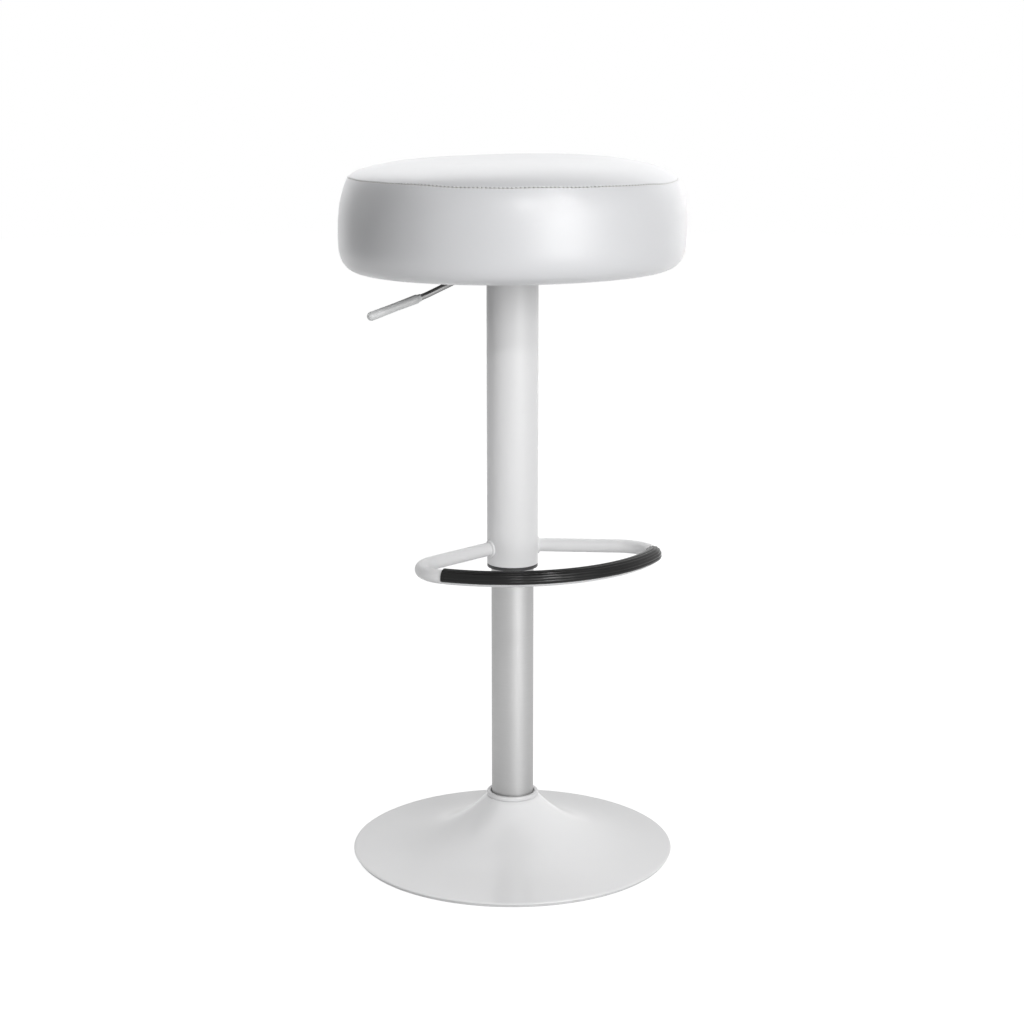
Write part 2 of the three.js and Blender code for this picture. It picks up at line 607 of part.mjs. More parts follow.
/** The sleeve is a ribbed C section, open below, swept round the bow between the corners. */
function sleeveGeometry() {
  const { bowCentre, bowAngle } = footrestCorner();
  const inner = FOOTREST_TUBE_RADIUS + SLEEVE_GAP;
  const outer = FOOTREST_TUBE_RADIUS + SLEEVE_WALL;
  const at = (radius, share) => {
    const turn = Math.PI + SLEEVE_COVERAGE * (share - 1 / 2);
    return new THREE.Vector2(radius * Math.cos(turn), radius * Math.sin(turn));
  };
  const outside = 2 * SLEEVE_RIB_COUNT;
  const rib = (i) => outer + SLEEVE_RIB * (i % 2);
  const ribbed = Array.from({ length: outside + 1 }, (_, i) => at(rib(i), i / outside));
  const lining = SLEEVE_LINING_SIDES;
  const smooth = Array.from({ length: lining + 1 }, (_, i) => at(inner, 1 - i / lining));
  const path = new LevelArc(bowCentre, FOOTREST_BOW_RADIUS, -bowAngle, bowAngle);
  return swept([...ribbed, ...smooth], path, SLEEVE_STEPS);
}

/** Where the four seat bolts stand. */
function seatBoltPlaces() {
  const half = SEAT_BOLT_SPACING / 2;
  return [[half, half], [-half, half], [-half, -half], [half, -half]];
}

function addSeatPlate() {
  const flangeBottomHeight = plateTop - PLATE_WALL;
  const under = [
    [DISH_HOLE_RADIUS, plateBottom], [DISH_FLOOR_RADIUS, plateBottom],
    [DISH_RADIUS, flangeBottomHeight], [PLATE_RADIUS, flangeBottomHeight],
  ];
  const upper = offsetProfile(under, PLATE_WALL);
  const plate = turned([...under, ...upper.reverse()], TUBE_SIDES);
  const boltHoles = seatBoltPlaces().map(([x, y]) => {
    const hole = ring(0, SEAT_BOLT_RADIUS + TOUCH, -OVERRUN, OVERRUN, SMALL_SIDES);
    return hole.translate(x, y, plateTop);
  });
  addPiece('seat_plate', cut(plate, leverSlot(), ...boltHoles), 'blackSteel');
  const headSeat = flangeBottomHeight - TOUCH;
  seatBoltPlaces().forEach(([x, y], i) => {
    const geometry = bolt(SEAT_BOLT_RADIUS, SEAT_BOLT_LENGTH, SEAT_BOLT_HEAD_RADIUS, SEAT_BOLT_HEAD_HEIGHT);
    addPiece(`seat_bolt_${i + 1}`, geometry, 'zincPlate').position.set(x, y, headSeat);
  });
}

/** The slot in the dish's wall that the lever leaves by, with room for its swing. */
function leverSlot() {
  const inner = DISH_FLOOR_RADIUS + PLATE_WALL;
  const outer = DISH_RADIUS + PLATE_WALL;
  const bottom = plateBottom + PLATE_WALL + LEVER_SLOT_SILL;
  const lift = (LEVER_BEND_REACH - LEVER_PIVOT_REACH) * Math.tan(LEVER_SWING);
  const top = leverHeight + LEVER_RADIUS + lift + RUNNING;
  const width = 2 * (LEVER_RADIUS + 2 * RUNNING);
  const box = new THREE.BoxGeometry(outer - inner, width, top - bottom);
  return box.translate((inner + outer) / 2, 0, (bottom + top) / 2).rotateZ(LEVER_HEADING);
}

function addLever() {
  const group = new THREE.Group();
  group.position.z = leverHeight;
  group.rotation.z = LEVER_HEADING;
  stool.add(group);
  addPiece('lever_bracket', bracketGeometry(), 'blackSteel', group).position.x = LEVER_PIVOT_REACH;
  addPiece('lever_rivet', rivetGeometry(), 'zincPlate', group).position.x = LEVER_PIVOT_REACH;
  const knuckle = new THREE.CylinderGeometry(KNUCKLE_RADIUS, KNUCKLE_RADIUS, KNUCKLE_WIDTH, SMALL_SIDES);
  const eyeLength = KNUCKLE_WIDTH + OVERRUN;
  const eye = new THREE.CylinderGeometry(RIVET_RADIUS + TOUCH, RIVET_RADIUS + TOUCH, eyeLength, SMALL_SIDES);
  const rod = swept(circle(LEVER_RADIUS, LEVER_SIDES), leverPath(), LEVER_STEPS);
  const knuckled = joined(rod, knuckle.translate(LEVER_PIVOT_REACH, 0, 0));
  addPiece('lever_rod', cut(knuckled, eye.translate(LEVER_PIVOT_REACH, 0, 0)), 'satinTube', group);
  const grip = addPiece('lever_grip', gripGeometry(), 'greyGrip', group);
  grip.position.copy(leverElbow()).addScaledVector(gripDirection(), LEVER_BEND_LENGTH + GRIP_SHOULDER);
  grip.rotation.y = Math.PI / 2 + GRIP_DROP;
}

/** Direction of the grip in the lever's own plane. */
function gripDirection() {
  return new THREE.Vector3(Math.cos(GRIP_DROP), 0, -Math.sin(GRIP_DROP));
}

/** Where the lever's shank meets the line of its grip. */
function leverElbow() {
  const x = LEVER_BEND_REACH + LEVER_SHANK_LENGTH * Math.cos(LEVER_DROP);
  return new THREE.Vector3(x, 0, -LEVER_SHANK_LENGTH * Math.sin(LEVER_DROP));
}

/** The lever's centre line, from over the valve pin to the inside of the grip. */
function leverPath() {
  const bend = new THREE.Vector3(LEVER_BEND_REACH, 0, 0);
  const elbow = leverElbow();
  const end = elbow.clone().addScaledVector(gripDirection(), LEVER_BEND_LENGTH + GRIP_DEPTH);
  const corners = [new THREE.Vector3(-LEVER_INNER_REACH, 0, 0), bend, elbow, end];
  const path = new THREE.CurvePath();
  let from = corners[0];
  for (let i = 1; i < corners.length - 1; i += 1) {
    const into = corners[i].clone().sub(corners[i - 1]).setLength(LEVER_BEND_LENGTH);
    const away = corners[i + 1].clone().sub(corners[i]).setLength(LEVER_BEND_LENGTH);
    const bendStart = corners[i].clone().sub(into);
    const bendEnd = corners[i].clone().add(away);
    path.add(new THREE.LineCurve3(from, bendStart));
    path.add(new THREE.QuadraticBezierCurve3(bendStart, corners[i], bendEnd));
    from = bendEnd;
  }
  path.add(new THREE.LineCurve3(from, end));
  return path;
}

/** A U bracket that stands on the dish's floor, about the rivet's axis. */
function bracketGeometry() {
  const inside = KNUCKLE_WIDTH + 2 * RUNNING;
  const outside = inside + 2 * BRACKET_WALL;
  const bottom = plateBottom + PLATE_WALL + TOUCH - leverHeight;
  const block = new THREE.BoxGeometry(BRACKET_LENGTH, outside, BRACKET_HEIGHT);
  const gap = new THREE.BoxGeometry(BRACKET_LENGTH + OVERRUN, inside, BRACKET_HEIGHT);
  const holeRadius = RIVET_RADIUS + TOUCH;
  const hole = new THREE.CylinderGeometry(holeRadius, holeRadius, outside + OVERRUN, SMALL_SIDES);
  block.translate(0, 0, bottom + BRACKET_HEIGHT / 2);
  gap.translate(0, 0, bottom + BRACKET_BASE + BRACKET_HEIGHT / 2);
  return cut(block, gap, hole);
}

/** The rivet lies across the lever, with a head outside each ear of the bracket. */
function rivetGeometry() {
  const half = KNUCKLE_WIDTH / 2 + RUNNING + BRACKET_WALL + TOUCH;
  const end = half + RIVET_HEAD_HEIGHT;
  const profile = [
    [0, -end], [RIVET_HEAD_RADIUS, -end], [RIVET_HEAD_RADIUS, -half], [RIVET_RADIUS, -half],
    [RIVET_RADIUS, half], [RIVET_HEAD_RADIUS, half], [RIVET_HEAD_RADIUS, end], [0, end],
  ];
  return turned(profile, SMALL_SIDES).rotateX(Math.PI / 2);
}

/** The grip is a sleeve with a shoulder at its mouth and a round end, along +Z from its mouth. */
function gripGeometry() {
  const bore = LEVER_RADIUS + TOUCH;
  const domeBase = GRIP_LENGTH - GRIP_RADIUS;
  const dome = [0.5, 0.85, 1].map((share) => {
    const turn = (share * Math.PI) / 2;
    return [GRIP_RADIUS * Math.cos(turn), domeBase + GRIP_RADIUS * Math.sin(turn)];
  });
  dome.at(-1)[0] = 0;
  const mouth = [[0, GRIP_DEPTH], [bore, GRIP_DEPTH], [bore, 0], [GRIP_RADIUS - GRIP_SHOULDER, 0]];
  const profile = [...mouth, [GRIP_RADIUS, GRIP_SHOULDER], [GRIP_RADIUS, domeBase], ...dome];
  return turned(profile, SMALL_SIDES);
}

/** Height of the cushion's crown at a radius. */
function crownHeight(radius) {
  const share = 1 - (radius / seamRadius) ** CROWN_OUTER_POWER;
  return SEAM_HEIGHT + CROWN_RISE * share ** (1 / CROWN_INNER_POWER);
}

/** The top panel's outline from the seam to the axis. */
function crownProfile() {
  const radiusShares = [1, 0.985, 0.955, 0.905, 0.83, 0.7, 0.45, 0];
  return radiusShares.map((share) => [seamRadius * share, crownHeight(seamRadius * share)]);
}

/** The side band's outline, from the seam out over the widest line and in under the board. */
function bandProfile() {
  const riseShares = [1, 0.86, 0.66, 0.4];
  const upper = riseShares.map((share) => {
    const radius = SEAT_RADIUS - SEAM_INSET * share ** BAND_UPPER_POWER;
    return [radius, widestHeight + WIDEST_DROP * share];
  });
  const turnShares = [0, 0.2, 0.4, 0.6, 0.8, 1];
  const lower = turnShares.map((share) => {
    const turn = (share * Math.PI) / 2;
    const across = Math.max(Math.cos(turn), 0) ** (2 / BAND_LOWER_POWER);
    const down = Math.sin(turn) ** (2 / BAND_LOWER_POWER);
    const radius = bandUnderRadius + BAND_UNDER_INSET * across;
    return [radius, widestHeight - (widestHeight - bandBottom) * down];
  });
  return [...upper, ...lower, [bandEdgeRadius, bandBottom + BAND_EDGE_RISE]];
}

/** Moves the seam end of a profile up or down by half the gap between the panels. */
function openSeam(profile, rise) {
  return profile.map(([radius, height], i) => [radius, i === 0 ? height + rise : height]);
}

function addSeatCover() {
  const top = openSeam(crownProfile(), TOUCH / 2);
  const topInner = offsetProfile(top, COVER_SKIN);
  topInner[0] = [seamRadius - COVER_SKIN, top[0][1]];
  topInner.at(-1)[0] = 0;
  addPiece('cushion_top_panel', turned([...top, ...topInner.reverse()], WIDE_SIDES), 'whiteLeather');
  const side = openSeam(bandProfile(), -TOUCH / 2);
  const sideInner = offsetProfile(side, -COVER_SKIN);
  sideInner[0] = [seamRadius - COVER_SKIN, side[0][1]];
  addPiece('cushion_side_band', turned([...side, ...sideInner.reverse()], WIDE_SIDES), 'whiteLeather');
}

/** The foam fills the cover over the board, and wraps the board's edge. */
function addFoam() {
  const inside = COVER_SKIN + TOUCH;
  const crown = offsetProfile(crownProfile(), inside).filter((_, i) => i > 0 && i % 2 === 1);
  const side = offsetProfile(bandProfile(), -inside).slice(1, -1);
  crown.at(-1)[0] = 0;
  const bore = boardRadius + TOUCH;
  const under = boardBottom - TOUCH;
  const over = boardTop + TOUCH;
  const recess = [[foamUnderRadius, under], [bore, under], [bore, over], [0, over]];
  addPiece('foam_core', turned([...crown.reverse(), ...side, ...recess], WIDE_SIDES), 'foam');
}

function addBoard() {
  const flangeSeat = boardTop - T_NUT_FLANGE_THICKNESS - TOUCH;
  const barrelRadius = SEAT_BOLT_RADIUS + TOUCH + T_NUT_WALL;
  const board = ring(0, boardRadius, boardBottom, boardTop, WIDE_SIDES);
  const pockets = seatBoltPlaces().map(([x, y]) => {
    const hole = barrelRadius + TOUCH;
    const recess = T_NUT_FLANGE_RADIUS + TOUCH;
    const bottom = boardBottom - OVERRUN;
    const top = boardTop + OVERRUN;
    const step = flangeSeat - TOUCH;
    const profile = [[0, bottom], [hole, bottom], [hole, step], [recess, step], [recess, top], [0, top]];
    return turned(profile, SMALL_SIDES).translate(x, y, 0);
  });
  addPiece('seat_board', cut(board, ...pockets), 'plywood');
  const bore = SEAT_BOLT_RADIUS + TOUCH;
  const nutTop = flangeSeat + T_NUT_FLANGE_THICKNESS;
  const nut = [
    [bore, nutTop - T_NUT_LENGTH], [barrelRadius, nutTop - T_NUT_LENGTH], [barrelRadius, flangeSeat],
    [T_NUT_FLANGE_RADIUS, flangeSeat], [T_NUT_FLANGE_RADIUS, nutTop], [bore, nutTop],
  ];
  seatBoltPlaces().forEach(([x, y], i) => {
    addPiece(`t_nut_${i + 1}`, turned(nut, SMALL_SIDES), 'zincPlate').position.set(x, y, 0);
  });
}

function addDustCover() {
  const bottom = plateTop + TOUCH;
  const holes = seatBoltPlaces().map(([x, y]) => [SEAT_BOLT_RADIUS + TOUCH, x, y]);
  const radius = bandEdgeRadius - 2 * COVER_SKIN - TOUCH;
  const sheet = new THREE.Shape(circle(radius, TUBE_SIDES));
  sheet.holes.push(new THREE.Path(circle(DUST_COVER_HOLE_RADIUS, TUBE_SIDES)));
  holes.forEach(([hole, x, y]) => sheet.holes.push(new THREE.Path(circle(hole, SMALL_SIDES, x, y))));
  const geometry = new THREE.ExtrudeGeometry(sheet, { depth: DUST_COVER_THICKNESS, bevelEnabled: false });
  addPiece('dust_cover', geometry, 'blackCloth').position.z = bottom;
}

addEdgeRing();
addBaseShell();
addBallast();
addStand();
addBearing();
addRod();
addCylinder();
addCoverTube();
addFootrest();
addSeatPlate();
addLever();
addBoard();
addDustCover();
addFoam();
addSeatCover();

export default stool;
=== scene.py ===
"""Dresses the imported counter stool: its finished shapes, its materials, and the stage that it stands on."""

import json
import math

import bmesh
import bpy
from bpy.props import FloatProperty, FloatVectorProperty, IntProperty, PointerProperty
from mathutils import Matrix, Vector, noise


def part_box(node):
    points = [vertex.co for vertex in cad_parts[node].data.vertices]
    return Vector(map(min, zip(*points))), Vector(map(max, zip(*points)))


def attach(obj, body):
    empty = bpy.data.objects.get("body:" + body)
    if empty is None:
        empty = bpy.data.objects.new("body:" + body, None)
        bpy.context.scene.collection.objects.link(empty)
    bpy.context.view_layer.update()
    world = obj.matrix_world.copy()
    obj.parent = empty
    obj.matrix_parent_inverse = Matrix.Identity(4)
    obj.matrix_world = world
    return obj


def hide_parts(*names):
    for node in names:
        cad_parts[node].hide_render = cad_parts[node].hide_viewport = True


bl_info = {
    "name": "Counter stool",
    "version": (1, 0, 0),
    "blender": (4, 5, 0),
    "location": "View3D > Sidebar > Stool",
    "description": "Dresses a packed counter stool with finished shapes and materials",
    "category": "Object",
}

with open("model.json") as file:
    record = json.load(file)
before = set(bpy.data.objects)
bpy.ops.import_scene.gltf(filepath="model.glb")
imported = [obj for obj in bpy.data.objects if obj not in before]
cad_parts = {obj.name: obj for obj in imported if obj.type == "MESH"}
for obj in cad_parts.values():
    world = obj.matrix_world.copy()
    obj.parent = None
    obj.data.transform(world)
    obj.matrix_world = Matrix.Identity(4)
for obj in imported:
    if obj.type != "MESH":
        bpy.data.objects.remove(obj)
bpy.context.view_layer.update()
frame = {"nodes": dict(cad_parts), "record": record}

BASE_LOW, BASE_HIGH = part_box("base_shell")
COLLAR_LOW, COLLAR_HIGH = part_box("base_collar")
EDGE_LOW, EDGE_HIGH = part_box("base_edge_ring")
STAND_LOW, STAND_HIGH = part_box("stand_tube")
COVER_LOW, COVER_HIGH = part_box("cover_tube")
BUSH_LOW, BUSH_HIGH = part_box("cover_guide_bush")
PLATE_LOW, PLATE_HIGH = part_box("seat_plate")
BAND_LOW, BAND_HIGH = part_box("cushion_side_band")
CROWN_LOW, CROWN_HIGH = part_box("cushion_top_panel")
BOARD_LOW, BOARD_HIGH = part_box("seat_board")
DUST_LOW, DUST_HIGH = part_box("dust_cover")
HOOP_LOW, HOOP_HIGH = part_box("footrest_bar")

NECK_BORE = 0.0263
ROUND_SIDES = 160
TUBE_SIDES = 96
SMALL_SIDES = 32
FULL_TURN = 2 * math.pi


def length(name, description, default, **limits):
    """A length in metres that a user may change."""
    return FloatProperty(
        name=name, description=description, default=default, unit="LENGTH", precision=5, **limits
    )


def colour(name, description, default):
    """A colour that a user may change, as linear red, green and blue."""
    return FloatVectorProperty(
        name=name, description=description, default=default, size=3, min=0, max=1, subtype="COLOR"
    )


class StoolSizes(bpy.types.PropertyGroup):
    """Sizes of the dressed stool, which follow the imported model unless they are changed."""

    seam_height: length("Seam height", "Height of the cushion's seam", (BAND_HIGH.z + CROWN_LOW.z) / 2)
    seam_radius: length("Seam radius", "Radius of the cushion's seam", CROWN_HIGH.x)
    seat_radius: length("Seat radius", "Widest radius of the cushion", BAND_HIGH.x)
    stitch_pitch: length("Stitch pitch", "Length of one stitch of the seam with its gap", 0.0046, min=0.002)
    thread_radius: length("Thread radius", "Radius of the seam's thread", 0.00078, min=0.0001)
    cover_thickness: length("Cover thickness", "Thickness of the cushion's cover", 0.0014, min=0.0005)
    seat_lean: FloatProperty(
        name="Seat lean",
        description="How far the soft top leans up towards its right side",
        default=math.radians(0.6),
        subtype="ANGLE",
    )
    seam_dip: FloatProperty(
        name="Seam dip",
        description="How far the seam is sewn down towards the right side of the leaning top",
        default=math.radians(1.0),
        subtype="ANGLE",
    )
    rib_count: IntProperty(
        name="Ribs", description="Ribs along the footrest's sleeve", default=9, min=3, max=15
    )
    rib_height: length("Rib height", "Height of the sleeve's ribs", 0.0006, min=0.0001, max=0.001)
    weld_radius: length("Weld radius", "Half the thickness of the footrest's welds", 0.0021, min=0.001)
    staple_count: IntProperty(
        name="Staples", description="Staples round the cover's hem", default=36, min=8, max=60
    )


class StoolColours(bpy.types.PropertyGroup):
    """Colours of the stool's finishes."""

    leather: colour("Leather", "The cushion's faux leather", (0.70, 0.705, 0.72))
    paint: colour("Paint", "The powder coat of the column and footrest", (0.84, 0.84, 0.845))
    gloss: colour("Gloss coat", "The glossier coat of the base", (0.90, 0.90, 0.905))
    tube: colour("Tube", "The satin stand tube", (0.46, 0.46, 0.46))
    lever: colour("Lever", "The lever's plated rod", (0.30, 0.30, 0.30))
    grip: colour("Grip", "The lever's grip", (0.72, 0.73, 0.73))
    collar: colour("Collar", "The collar on the base's neck", (0.76, 0.76, 0.765))
    rubber: colour("Rubber", "The footrest's sleeve", (0.006, 0.006, 0.006))
    edge: colour("Edge ring", "The rubber ring under the base's rim", (0.78, 0.78, 0.785))
    plastic: colour("Black plastic", "The column's guides", (0.011, 0.011, 0.012))
    thread: colour("Thread", "The seam's thread", (0.70, 0.70, 0.695))
    black_paint: colour("Black paint", "The seat plate, cylinder and ballast", (0.020, 0.020, 0.022))
    steel: colour("Steel", "Ground steel parts", (0.55, 0.56, 0.57))
    zinc: colour("Zinc", "Plated screws and washers", (0.62, 0.62, 0.60))
    plywood: colour("Plywood", "The seat board", (0.56, 0.34, 0.16))
    foam: colour("Foam", "The cushion's foam", (0.80, 0.74, 0.43))
    cloth: colour("Cloth", "The dust cover", (0.015, 0.015, 0.017))


def sizes():
    """The scene's sizes."""
    return bpy.context.scene.stool_sizes


def colours():
    """The scene's colours."""
    return bpy.context.scene.stool_colours


def put(thing, **values):
    """Sets several properties of a thing, and gives it back."""
    for name, value in values.items():
        setattr(thing, name, value)
    return thing


# Materials


def feed(tree, socket, value):
    """Links a node's input to another node's output, or sets it to a plain value."""
    if isinstance(value, bpy.types.NodeSocket):
        tree.links.new(value, socket)
    else:
        socket.default_value = value


def add_node(tree, kind, inputs=None, **values):
    """Adds a node with its properties and its inputs set, and gives its outputs."""
    made = put(tree.nodes.new(kind), **values)
    for socket, value in (inputs or {}).items():
        feed(tree, made.inputs[socket], value)
    return made.outputs


class Finish:
    """A procedural material, built up from patterns on the piece's own object coordinates."""

    def __init__(self, base, roughness, metallic=0.0):
        self.material = bpy.data.materials.new("stool_finish")
        self.material.use_nodes = True
        self.tree = self.material.node_tree
        self.shader = self.tree.nodes["Principled BSDF"]
        self.tinted = self.material.diffuse_color = (*base, 1)
        self.set("Base Color", self.tinted).set("Roughness", roughness).set("Metallic", metallic)
        self.place = add_node(self.tree, "ShaderNodeTexCoord")["Object"]
        self.relief = {}

    def set(self, socket, value):
        """Sets a socket of the shader to a plain value, or links it to a pattern."""
        feed(self.tree, self.shader.inputs[socket], value)
        return self

    def pattern(self, kind, inputs, stretch=(1, 1, 1), **values):
        """A texture on object coordinates that are scaled by a different amount along each axis."""
        mapping = add_node(self.tree, "ShaderNodeMapping", {"Scale": stretch, "Vector": self.place})
        return add_node(self.tree, kind, {**inputs, "Vector": mapping["Vector"]}, **values)

    def grain(self, scale, detail=2.0, roughness=0.5, stretch=(1, 1, 1)):
        """Soft noise, with scale in features per metre."""
        inputs = {"Scale": scale, "Detail": detail, "Roughness": roughness}
        return self.pattern("ShaderNodeTexNoise", inputs, stretch)["Fac"]

    def cells(self, scale, smoothness=0.0):
        """A pattern of cells, such as the pores of foam or the pebbles of leather."""
        feature, soft = ("SMOOTH_F1", {"Smoothness": smoothness}) if smoothness else ("F1", {})
        return self.pattern("ShaderNodeTexVoronoi", {"Scale": scale, **soft}, feature=feature)["Distance"]

    def bands(self, scale, direction, distortion=0.0, stretch=(1, 1, 1)):
        """Straight bands across one axis."""
        inputs = {"Scale": scale, "Distortion": distortion, "Detail": 2.0}
        return self.pattern("ShaderNodeTexWave", inputs, stretch, bands_direction=direction)["Fac"]

    def ranged(self, pattern, low, high, start=0.3, end=0.7):
        """The pattern, spread from low to high."""
        inputs = {"From Min": start, "From Max": end, "To Min": low, "To Max": high, "Value": pattern}
        return add_node(self.tree, "ShaderNodeMapRange", inputs)["Result"]

    def shade(self, pattern, share, tint=(0, 0, 0), start=0.3, end=0.7):
        """Lets the pattern draw the base colour towards a tint, by a share at most."""
        inputs = {"A": self.tinted, "B": (*tint, 1), "Factor": self.ranged(pattern, 0, share, start, end)}
        self.tinted = add_node(self.tree, "ShaderNodeMix", inputs, data_type="RGBA")["Result"]
        return self.set("Base Color", self.tinted)

    def polish(self, pattern, low, high):
        """Lets the pattern vary the roughness between two values."""
        return self.set("Roughness", self.ranged(pattern, low, high))

    def emboss(self, pattern, depth, strength=1.0):
        """Lets the pattern raise the surface, with its depth in metres."""
        inputs = {"Distance": depth, "Strength": strength, "Height": pattern, **self.relief}
        self.relief = {"Normal": add_node(self.tree, "ShaderNodeBump", inputs)["Normal"]}
        return self.set("Normal", self.relief["Normal"])

    def speckle(self, tint, gloss, relief):
        """Grains in the colour, the roughness and the surface, each given as a grain and its amounts."""
        for change, (grain, *amounts) in ((self.shade, tint), (self.polish, gloss), (self.emboss, relief)):
            change(self.grain(*grain), *amounts)
        return self


def faux_leather():
    made = Finish(colours().leather, 0.38).set("IOR", 1.6)
    made.set("Coat Weight", 0.4).set("Coat Roughness", 0.3)
    made.set("Sheen Weight", 0.18).set("Sheen Roughness", 0.45)
    pebbles = made.cells(1500, 0.6)
    made.shade(made.grain(14, 3), 0.035, (0.50, 0.51, 0.53))
    made.shade(pebbles, 0.03, (0.45, 0.46, 0.48), 0.2, 0.7)
    made.polish(made.grain(40, 4), 0.35, 0.42)
    made.emboss(pebbles, 0.00004, 0.5).emboss(made.grain(420, 4), 0.00005, 0.4)
    return made.emboss(made.grain(38, 2), 0.0006, 0.25)


def gloss_coat():
    made = Finish(colours().gloss, 0.32).set("Coat Weight", 0.35).set("Coat Roughness", 0.06)
    tint = ((9, 3), 0.03, (0.48, 0.50, 0.52))
    return made.speckle(tint, ((40, 3), 0.29, 0.35), ((110, 1, 0.4), 0.00003, 0.2))


def satin_tube():
    made = Finish(colours().tube, 0.54, 0.9).set("Anisotropic", 0.3).set("Anisotropic Rotation", 0.25)
    made.shade(made.grain(26, 4, 0.6, (1, 1, 0.25)), 0.10, (0.26, 0.26, 0.27))
    tint, gloss = ((40, 2, 0.5, (1, 1, 60)), 0.10, (0.30, 0.30, 0.30)), ((30, 4, 0.6, (1, 1, 70)), 0.51, 0.58)
    return made.speckle(tint, gloss, ((30, 3, 0.6, (1, 1, 90)), 0.000012, 0.5))


def sleeve_rubber():
    made = Finish(colours().rubber, 0.2).set("Specular IOR Level", 0.22)
    made.shade(made.grain(90, 5, 0.65), 0.4, (0.014, 0.014, 0.013))
    tint, gloss = ((12, 3), 0.3, (0.010, 0.010, 0.010)), ((70, 5, 0.6), 0.15, 0.24)
    return made.speckle(tint, gloss, ((1500, 4), 0.00004, 0.5))


def seam_thread():
    made = Finish(colours().thread, 0.6).set("Sheen Weight", 0.2)
    made.shade(made.grain(300, 3), 0.12, (0.42, 0.42, 0.41))
    return made.emboss(made.bands(900, "DIAGONAL", 0.5), 0.00006, 0.6)


def bright_zinc():
    made = Finish(colours().zinc, 0.36, 0.9)
    made.shade(made.cells(320), 0.25, (0.38, 0.39, 0.36), 0.1, 0.7)
    return made.polish(made.grain(260, 4), 0.28, 0.46).emboss(made.grain(900, 3), 0.00002, 0.4)


def raw_plywood():
    made = Finish(colours().plywood, 0.75)
    made.shade(made.bands(26, "Y", 5.0, (0.35, 1, 1)), 0.45, (0.33, 0.18, 0.08))
    made.shade(made.bands(160, "Z"), 0.35, (0.36, 0.22, 0.11))
    made.polish(made.grain(90, 4), 0.68, 0.85)
    return made.emboss(made.grain(160, 5, 0.6, (0.1, 1, 1)), 0.0002, 0.6)


def cushion_foam():
    made = Finish(colours().foam, 0.95)
    pores = made.cells(700)
    made.shade(pores, 0.35, (0.52, 0.46, 0.24), 0.1, 0.6)
    made.shade(made.grain(12, 3), 0.15, (0.62, 0.55, 0.30))
    return made.polish(made.grain(200, 3), 0.9, 1.0).emboss(pores, 0.0005, 0.8)


def dust_cloth():
    made = Finish(colours().cloth, 0.9).set("Sheen Weight", 0.25)
    made.shade(made.grain(500, 5, 0.7), 0.6, (0.05, 0.05, 0.052)).polish(made.grain(300, 3), 0.82, 0.98)
    made.emboss(made.cells(420), 0.00015, 0.5)
    return made.emboss(made.grain(1500, 5, 0.7, (1, 0.3, 1)), 0.00015, 0.7)


# The finishes with a pattern or a setting of their own.
FINISHES = {
    "white_leather": faux_leather,
    "gloss_paint": gloss_coat,
    "satin_tube": satin_tube,
    "black_rubber": sleeve_rubber,
    "thread": seam_thread,
    "zinc_plate": bright_zinc,
    "plywood": raw_plywood,
    "foam": cushion_foam,
    "black_cloth": dust_cloth,
}

# The plainer ones: colour, roughness and metal, then the grains of the tint, the gloss and the relief.
SPECKLED = {
    "white_paint": (
        ("paint", 0.42),
        (((9, 3), 0.03, (0.48, 0.50, 0.52)), ((55, 4), 0.38, 0.48), ((620, 2, 0.4), 0.00002, 0.3)),
    ),
    "satin_lever": (
        ("lever", 0.45, 0.85),
        (((60, 4), 0.18, (0.16, 0.16, 0.17)), ((140, 4), 0.40, 0.52), ((1300, 3), 0.00001, 0.5)),
    ),
    "pale_grip": (
        ("grip", 0.36),
        (((60, 2), 0.03, (0.50, 0.51, 0.52)), ((90, 2), 0.33, 0.40), ((160, 1), 0.000006, 0.2)),
    ),
    "white_collar": (
        ("collar", 0.33),
        (((40, 3), 0.05, (0.46, 0.47, 0.48)), ((120, 4), 0.29, 0.38), ((1500, 3), 0.00002, 0.4)),
    ),
    "black_plastic": (
        ("plastic", 0.42),
        (((50, 4), 0.5, (0.03, 0.03, 0.031)), ((200, 4), 0.34, 0.5), ((1800, 3), 0.00002, 0.5)),
    ),
    "pale_rubber": (
        ("edge", 0.6),
        (((70, 5), 0.2, (0.42, 0.42, 0.41)), ((120, 4), 0.52, 0.7), ((1100, 4), 0.00006, 0.6)),
    ),
    "black_steel": (
        ("black_paint", 0.42),
        (((80, 4), 0.35, (0.045, 0.045, 0.048)), ((90, 4), 0.34, 0.5), ((900, 3), 0.00003, 0.5)),
    ),
    "steel": (
        ("steel", 0.36, 0.95),
        (
            ((60, 3, 0.5, (1, 1, 40)), 0.2, (0.3, 0.3, 0.31)),
            ((50, 4, 0.6, (1, 1, 30)), 0.28, 0.46),
            ((120, 3, 0.6, (1, 1, 30)), 0.00001, 0.6),
        ),
    ),
}


def finish(key):
    """The material of that key, made the first time that it is asked for."""
    name = f"stool_{key}"
    if name not in bpy.data.materials:
        if key in FINISHES:
            made = FINISHES[key]()
        else:
            (base, *amounts), grains = SPECKLED[key]
            made = Finish(getattr(colours(), base), *amounts).speckle(*grains)
        made.material.name = name
    return bpy.data.materials[name]


# Modelling by hand


def deselect():
    if bpy.context.mode != "OBJECT":
        bpy.ops.object.mode_set(mode="OBJECT")
    bpy.ops.object.select_all(action="DESELECT")


def pick(piece, *others):
    """Selects the pieces, with the first one active."""
    deselect()
    for each in (piece, *others):
        each.select_set(True)
    bpy.context.view_layer.objects.active = piece


def added(operator, name=None, **values):
    """Adds an object by one of Blender's own operators, with nothing else selected."""
    deselect()
    operator(**values)
    made = bpy.context.object
    made.name = name or made.name
    return made


